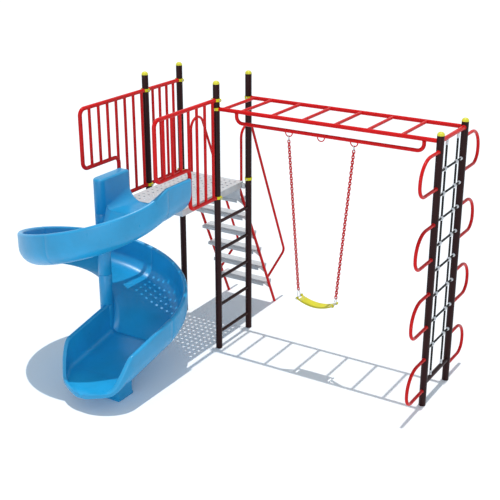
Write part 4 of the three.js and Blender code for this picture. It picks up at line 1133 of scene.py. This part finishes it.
class TOWER_OT_slide(bpy.types.Operator):
    """Builds the spiral slide: entry, four quarter turns, run-out, hubs and pole"""
    bl_idname = "tower.slide"
    bl_label = "Spiral slide"

    def hub(self, shell, bottom, top, dome=False):
        radius = HUB_RADIUS
        height = top - bottom
        if dome:
            height -= 0.5
            profile = [(radius, 0), (radius, height - HUB_DOME)]
            profile += [(radius - HUB_DOME * (1 - math.cos(a)), height - HUB_DOME * (1 - math.sin(a)))
                        for a in [QUARTER * i / 6 for i in range(1, 7)]]
        else:
            profile = [(radius - 6, 0), (radius - 1.5, 0.8), (radius, 3), (radius, height - 3),
                       (radius - 1.5, height - 0.8), (radius - 6, height)]
        shell.turned(place(SLIDE_X, SLIDE_Y, bottom), UP, profile, 64)

    def moulding(self, shell, name, node, smooth=40):
        shell.piece(name, "rotomoulded_polyethylene", [node], smooth=smooth)

    def execute(self, context):
        under = [RIM_START - QUARTER_DROP * i - DEPTH - SKIN for i in range(5)]
        self.entry(under[0])
        for index in range(4):
            self.quarter_turn(index, under)
        self.run_out()
        # Hub below the last turn, and the steel pole inside the hubs
        shell = Shell()
        self.hub(shell, 0, under[4] - PIECE_GAP)
        self.moulding(shell, "slide_hub_base", "slide_hub_foot", smooth=35)
        shell = Shell()
        shell.bar(place(SLIDE_X, SLIDE_Y, 0.5), place(SLIDE_X, SLIDE_Y, FIN_TOP - 35), 30, 32)
        shell.piece("slide_pole_tube", "powder_coat_maroon", ["slide_pole"])
        return {"FINISHED"}

    def entry(self, under):
        """The straight mouth, whose corners are drawn from wide to those of the turns"""
        start, end = SLIDE_START, SLIDE_Y + PIECE_GAP
        stations = [(start, 8), (start - 2.4, 2.4), (start - 8, 0)]
        stations += [(start - 8 + (end - start + 8) * i / 12, 0) for i in range(1, 13)]
        rings = []
        for y, draw in stations:
            share = smoothstep((y - start) / (end - start))
            corners = [mouth + (turn - mouth) * share for mouth, turn in zip(MOUTH_CORNERS, TURN_CORNERS)]
            outline = channel_outline(-HUB_RADIUS, SLIDE_RADIUS, RIM_START + ENTRY_RISE, FIN_TOP,
                                      RIM_START - DEPTH, under, 2 * HUB_RADIUS, corners)
            rings.append([place(SLIDE_X + out, y, up) for out, up in inset(outline, draw)])
        shell = Shell()
        shell.loft(rings)
        self.hub(shell, under, FIN_TOP, dome=True)
        self.moulding(shell, "slide_entry_moulding", "slide_entry")

    def quarter_turn(self, index, under):
        """A quarter of the helix with its hub; each end is drawn in to a small rounded edge"""
        stations = [(0, 0.15, 1.2), (0, 2.0, 0)] + [(step, 0, 0) for step in range(1, TURN_STEPS)]
        stations += [(TURN_STEPS, -2.0, 0), (TURN_STEPS, -0.15, 1.2)]
        rings = []
        for step, gap, draw in stations:
            share = index + step / TURN_STEPS
            angle = share * QUARTER
            c, s = math.cos(angle), math.sin(angle)
            outline = turn_outline(RIM_START - QUARTER_DROP * share, entry_rise(angle))
            rings.append([place(SLIDE_X + out * c - gap * s, SLIDE_Y - out * s - gap * c, up)
                          for out, up in inset(outline, draw)])
        shell = Shell()
        shell.loft(rings)
        self.hub(shell, under[index + 1], under[index] - PIECE_GAP)
        self.moulding(shell, f"slide_turn_moulding_{index + 1}", f"slide_turn_{index + 1}")

    def run_out(self):
        """The straight run-out, its nose that turns down while it narrows, and its foot"""
        middle, half = (EXIT_INNER + SLIDE_RADIUS) / 2, (SLIDE_RADIUS - EXIT_INNER) / 2
        rim_start = RIM_START - 4 * QUARTER_DROP
        rim_end = rim_start - EXIT_FALL
        floor_end = EXIT_LIP + SKIN
        rings = []

        def floor_at(along):
            return rim_start - DEPTH + (floor_end - rim_start + DEPTH) * along / EXIT_RUN

        def section(reach, width, rim, floor, bottom, draw=0):
            outline = channel_outline(middle - width, middle + width, rim, rim, floor, bottom, WALL)
            rings.append([place(SLIDE_X + out, SLIDE_Y - reach, up) for out, up in inset(outline, draw)])

        for i in range(13):
            along = max(EXIT_RUN * i / 12, 0.3)
            floor = floor_at(along)
            rim = rim_start - EXIT_FALL * along / EXIT_RUN
            section(along, half, rim, floor, floor - SKIN, 1.2 if i == 0 else 0)
            if i == 0:
                section(2.3, half, rim, floor, floor - SKIN)
        for i in range(1, TURN_STEPS + 1):
            turn = NOSE_TURN * i / TURN_STEPS
            smooth = smoothstep(turn / (NOSE_TURN * NOSE_SMOOTH))
            floor = EXIT_LIP + SKIN * (1 - smooth) - NOSE_DROP * (1 - math.cos(turn)) ** 2
            rim = floor + NOSE_RIM + (rim_end - floor_end - NOSE_RIM) * (1 - smooth)
            section(EXIT_RUN + NOSE_REACH * math.sin(turn), half * math.cos(turn), rim, floor,
                    floor - SKIN + 4 * smooth)
        shell = Shell()
        shell.loft(rings)
        self.moulding(shell, "slide_exit_moulding", "slide_exit", smooth=45)

        def plan(draw):
            x, y = SLIDE_X + FOOT_OUT, SLIDE_Y - EXIT_RUN
            return rounded_rectangle(x - FOOT_HALF + draw, x + FOOT_HALF - draw,
                                     y + draw, y + FOOT_LENGTH - draw, 14, 6)

        # A base flange and a stem that ends against the slope of the run-out
        rings = [[place(x, y, z) for x, y in plan(draw)] for draw, z in ((3, 0), (0, 3), (0, 20), (6, 26))]
        rings.append([place(x, y, floor_at(SLIDE_Y - y) - SKIN - PIECE_GAP) for x, y in plan(6)])
        shell = Shell()
        shell.loft(rings)
        self.moulding(shell, "slide_foot_moulding", "slide_exit_foot")


# Swing


CHAIN_WIRE = 9.5
SHACKLE_STRAIGHT = 30
SHACKLE_HALF = 8.8
SHACKLE_ROD = 3
SEAT_HANG = 834
SEAT_SPREAD = 195
SEAT_SPAN = 185
SEAT_END = SEAT_HANG - 68
SEAT_SAG = 46
SEAT_WIDTH = 118
SEAT_NARROW = 0.08
BELT_EDGE = 4.5
NOTCH_HALF = 29.5
NOTCH_DEPTH = 22
FITTING_ROD = 3.5
LEG_REACH = 22
PIN_HEAD = [(7.8, 0), (7.8, 1), (6.2, 2.6), (3.5, 3.6), (0, 3.8)]
PIN_COLLAR = [(3.6, 0), (6.8, 0.6), (6.8, 9.8), (3.6, 10.4)]
RIVET_HEAD = [(7.5, 0), (7, 1.2), (4.5, 2.4), (0, 2.8)]


class TOWER_OT_swing(bpy.types.Operator):
    """Builds the swing: shackles, chains, end fittings and belt seat"""
    bl_idname = "tower.swing"
    bl_label = "Swing"

    def execute(self, context):
        wire = CHAIN_WIRE / 2
        for side, word in SIDES:
            pivot = place(SWING_CENTRE + side * SWING_SPREAD, 0, PIVOT_HEIGHT)
            shackle = Shell()
            middle = pivot - UP * SHACKLE_STRAIGHT / 2
            shackle.pipe(stadium(middle, UP, ALONG_Y, SHACKLE_STRAIGHT, SHACKLE_HALF), SHACKLE_ROD, 14,
                         closed=True)
            pin = pivot - UP * 22
            shackle.bar(pin - ALONG_Y * 12.5, pin + ALONG_Y * 12.5, 2.4, 12)
            shackle.turned(pin + ALONG_Y * 10.5, ALONG_Y, [(4.5, 0), (4.5, 2)], 6)
            shackle.piece(f"shackle_{word}", "galvanised_steel", body="swing")
            start = pivot - UP * (SHACKLE_STRAIGHT + SHACKLE_HALF - SHACKLE_ROD)
            end = place(SWING_CENTRE + side * SEAT_SPREAD, 0, SEAT_HANG)
            way = (end - start).normalized()
            across = way.cross(ALONG_Y).normalized()
            total = (end - start).length
            links = 2 * round((total / size("link_pitch") - 1) / 2) + 1
            pitch = total / links
            half = wire + 6.4
            chain = Shell()
            for i in range(links):
                loop = stadium(start + way * (i + 0.5) * pitch, way, ALONG_Y if i % 2 else across,
                               pitch + 2 * wire - 0.3 - 2 * half, half)
                chain.pipe(loop, wire, 10, closed=True)
            chain.piece(f"chain_links_{word}", "plastisol_red_chain", [f"swing_chain_{word}"], body="swing",
                        smooth=60)
            self.fitting(word, side, end + way * wire, way)
        self.belt()
        self.rivets()
        return {"FINISHED"}

    def fitting(self, word, side, eye, way):
        """End shackle: the bow rounds the last link, the legs come down in the belt's notch to the pin"""
        pin = place(SWING_CENTRE + side * SEAT_SPAN, 0, SEAT_END)
        drop = pin.z - eye.z
        lean = (pin.x - eye.x) / drop
        reach = CHAIN_WIRE / 2 * 1.12 + FITTING_ROD
        leg = [(reach + 2, -6), (14, -14), (LEG_REACH - 2, -22), (LEG_REACH, -30), (LEG_REACH, drop)]
        bow = [(-math.cos(a) * reach, math.sin(a) * reach) for a in [math.pi * k / 10 for k in range(11)]]
        path = [(-y, up) for y, up in reversed(leg)] + bow + leg
        ring = Shell()
        ring.pipe([eye + Vector((up * (lean if up < 0 else way.x / way.z), y, up)) for y, up in path],
                  FITTING_ROD, 14)
        half = SEAT_WIDTH / 2 + 4
        ring.bar(pin - ALONG_Y * half, pin + ALONG_Y * half, FITTING_ROD, 16)
        for end in (-1, 1):
            ring.turned(pin + ALONG_Y * end * (half - 1.2), ALONG_Y * end, PIN_HEAD, 20)
            ring.turned(pin + ALONG_Y * (end * LEG_REACH - 5.2), ALONG_Y, PIN_COLLAR, 20)
        ring.piece(f"seat_shackle_{word}", "galvanised_steel", [f"seat_fitting_{word}"], body="seat",
                   smooth=50)

    def belt_point(self, share):
        """Middle of the belt at a share of its half span"""
        return SWING_CENTRE + share * SEAT_SPAN, SEAT_END - SEAT_SAG * (1 - share * share)

    def belt_run(self, shell, first, last, count, part):
        """A length of the belt from share to share: all its width, or the strip on one side of the notch"""
        rings = []
        for i in range(count + 1):
            share = first + (last - first) * i / count
            x, z = self.belt_point(share)
            half = SEAT_WIDTH / 2 * (1 - SEAT_NARROW * share * share) - BELT_EDGE
            near, far = sorted((part * (NOTCH_HALF + BELT_EDGE), part * half)) if part else (-half, half)
            ring = []
            for y, up in (arc(far, 0, BELT_EDGE, -QUARTER, QUARTER, 8)
                          + arc(near, 0, BELT_EDGE, QUARTER, 3 * QUARTER, 8)):
                # Raised beads run along both sides of the top
                bead = 1.5 * math.exp(-((abs(y) - 46) / 6) ** 2) if up > 0 else 0
                ring.append(place(x, y, z + up + bead))
            rings.append(ring)
        shell.loft(rings)

    def belt(self):
        """Moulded belt: soft edges, raised side beads, and two hems beside the notch at each end"""
        shell = Shell()
        whole = 1 - NOTCH_DEPTH / SEAT_SPAN
        for part in (-1, 0, 1):
            if part:
                for side in (-1, 1):
                    self.belt_run(shell, side * whole, side, 8, part)
            else:
                self.belt_run(shell, -whole, whole, 60, part)
        for x in (SWING_CENTRE - SEAT_SPAN, SWING_CENTRE + SEAT_SPAN):
            for part in (-1, 1):
                inner, outer = sorted((part * (NOTCH_HALF + 0.6), part * (SEAT_WIDTH / 2 - 5.2)))
                hem = outer - inner
                shell.turned(place(x, inner, SEAT_END), ALONG_Y, [
                    (4.5, 0), (10.5, 0), (12, 1.5), (12, hem - 1.5), (10.5, hem), (4.5, hem)], 28)
        shell.piece("belt_seat_rubber", "moulded_rubber", ["belt_seat"], body="seat", smooth=50)

    def rivets(self):
        shell = Shell()
        for share in (-0.8, 0.8):
            x, z = self.belt_point(share)
            normal = Vector((-2 * SEAT_SAG * share / SEAT_SPAN, 0, 1)).normalized()
            for y in (-38, 0, 38):
                for way in (normal, -normal):
                    shell.turned(place(x, y, z) + way * 4.2, way, RIVET_HEAD, 16)
        shell.piece("belt_rivets", "galvanised_steel", body="seat")


# Stage


FOCAL_PIXELS = 1008.504
IMAGE_PIXELS = 500
SENSOR = 36
FLOOR_HALF = 60
FLOOR_LEVEL = -0.0006


class TOWER_OT_stage(bpy.types.Operator):
    """Builds the floor, the lights and the camera at the photograph's angle"""
    bl_idname = "tower.stage"
    bl_label = "Stage"

    def execute(self, context):
        scene = context.scene
        yaw, pitch = math.radians(-31.607), math.radians(21.237)
        look = Vector((math.sin(yaw) * math.cos(pitch), math.cos(yaw) * math.cos(pitch), -math.sin(pitch)))
        lens = bpy.data.cameras.new("Camera")
        lens.sensor_width = SENSOR
        lens.lens = FOCAL_PIXELS / IMAGE_PIXELS * SENSOR
        lens.clip_end = 200
        scene.camera = self.aimed("Camera", lens, place(5031.18, -7586.86, 4584.12) / 1000, look)

        half, level = FLOOR_HALF, FLOOR_LEVEL
        mesh = bpy.data.meshes.new("studio_floor")
        corners = [(*corner, level) for corner in rectangle(-half, half, -half, half)]
        mesh.from_pydata(corners, [], [(0, 1, 2, 3)])
        mesh.materials.append(self.floor_paint())
        linked("studio_floor", mesh)

        sun = bpy.data.lights.new("Overhead sun", "SUN")
        sun.energy = 2.0
        sun.angle = math.radians(0.6)
        sun.color = (1.0, 0.985, 0.96)
        self.aimed("Overhead sun", sun, Vector(), Vector((0, -0.035, -1)))
        soft = bpy.data.lights.new("Soft box", "AREA")
        soft.shape = "DISK"
        soft.size = 5.0
        soft.energy = 170
        stand = place(3500, -9000, 3000) / 1000
        self.aimed("Soft box", soft, stand, place(200, 0, 1200) / 1000 - stand)
        self.world(scene)
        scene.view_settings.view_transform = "Standard"
        return {"FINISHED"}

    def aimed(self, name, data, stand, look):
        """A camera or a lamp that stands at a place and looks along a direction"""
        thing = linked(name, data)
        thing.location = stand
        thing.rotation_euler = look.to_track_quat("-Z", "Y").to_euler()
        return thing

    def floor_paint(self):
        """Painted studio floor: plain and matt, white to the camera and keeping the shadows"""
        material = bpy.data.materials.new("studio_floor_paint")
        tree = empty_tree(material)
        paint = linear(bpy.context.scene.tower_colours.floor)[:3]
        mix = add(tree, "ShaderNodeMix", {"data_type": "RGBA"})
        tree.links.new(background_rays(tree), mix.inputs[0])
        for socket, factor in ((6, 0.85), (7, 1.12)):
            mix.inputs[socket].default_value = tuple(c * factor for c in paint) + (1.0,)
        diffuse = add(tree, "ShaderNodeBsdfDiffuse", inputs={"Color": mix.outputs[2]})
        add(tree, "ShaderNodeOutputMaterial", inputs={"Surface": diffuse.outputs["BSDF"]})
        return material

    def world(self, scene):
        """Even sky that reads white to the camera"""
        scene.world = bpy.data.worlds.new("Studio")
        tree = empty_tree(scene.world)
        sky = add(tree, "ShaderNodeBackground", inputs={"Color": (0.78, 0.9, 1.0, 1), "Strength": 0.5})
        white = add(tree, "ShaderNodeBackground", inputs={"Color": (1, 1, 1, 1), "Strength": 1.0})
        mix = add(tree, "ShaderNodeMixShader")
        for socket, source in enumerate((background_rays(tree), sky.outputs[0], white.outputs[0])):
            tree.links.new(source, mix.inputs[socket])
        add(tree, "ShaderNodeOutputWorld", inputs={"Surface": mix.outputs[0]})


class TOWER_PT_pieces(bpy.types.Panel):
    """Lists the sizes, the colours and the steps"""
    bl_idname = "TOWER_PT_pieces"
    bl_label = "Play tower"
    bl_space_type = "VIEW_3D"
    bl_region_type = "UI"
    bl_category = "Play tower"

    def draw(self, context):
        layout = self.layout
        for group in (context.scene.tower_sizes, context.scene.tower_colours):
            column = layout.column(align=True)
            for name in group.__annotations__:
                column.prop(group, name)
        for operator in OPERATORS:
            layout.operator(operator.bl_idname)


OPERATORS = (
    TOWER_OT_stage,
    TOWER_OT_posts,
    TOWER_OT_caps,
    TOWER_OT_clamps,
    TOWER_OT_guards,
    TOWER_OT_deck,
    TOWER_OT_stair,
    TOWER_OT_monkey_bars,
    TOWER_OT_grip_loops,
    TOWER_OT_rope_net,
    TOWER_OT_slide,
    TOWER_OT_swing,
)
CLASSES = (TowerSizes, TowerColours) + OPERATORS + (TOWER_PT_pieces,)


def register():
    for item in CLASSES:
        bpy.utils.register_class(item)
    bpy.types.Scene.tower_sizes = bpy.props.PointerProperty(type=TowerSizes)
    bpy.types.Scene.tower_colours = bpy.props.PointerProperty(type=TowerColours)


def unregister():
    del bpy.types.Scene.tower_colours
    del bpy.types.Scene.tower_sizes
    for item in reversed(CLASSES):
        bpy.utils.unregister_class(item)


def main():
    register()
    for operator in OPERATORS:
        group, name = operator.bl_idname.split(".")
        getattr(getattr(bpy.ops, group), name)()


if __name__ == "__main__":
    main()
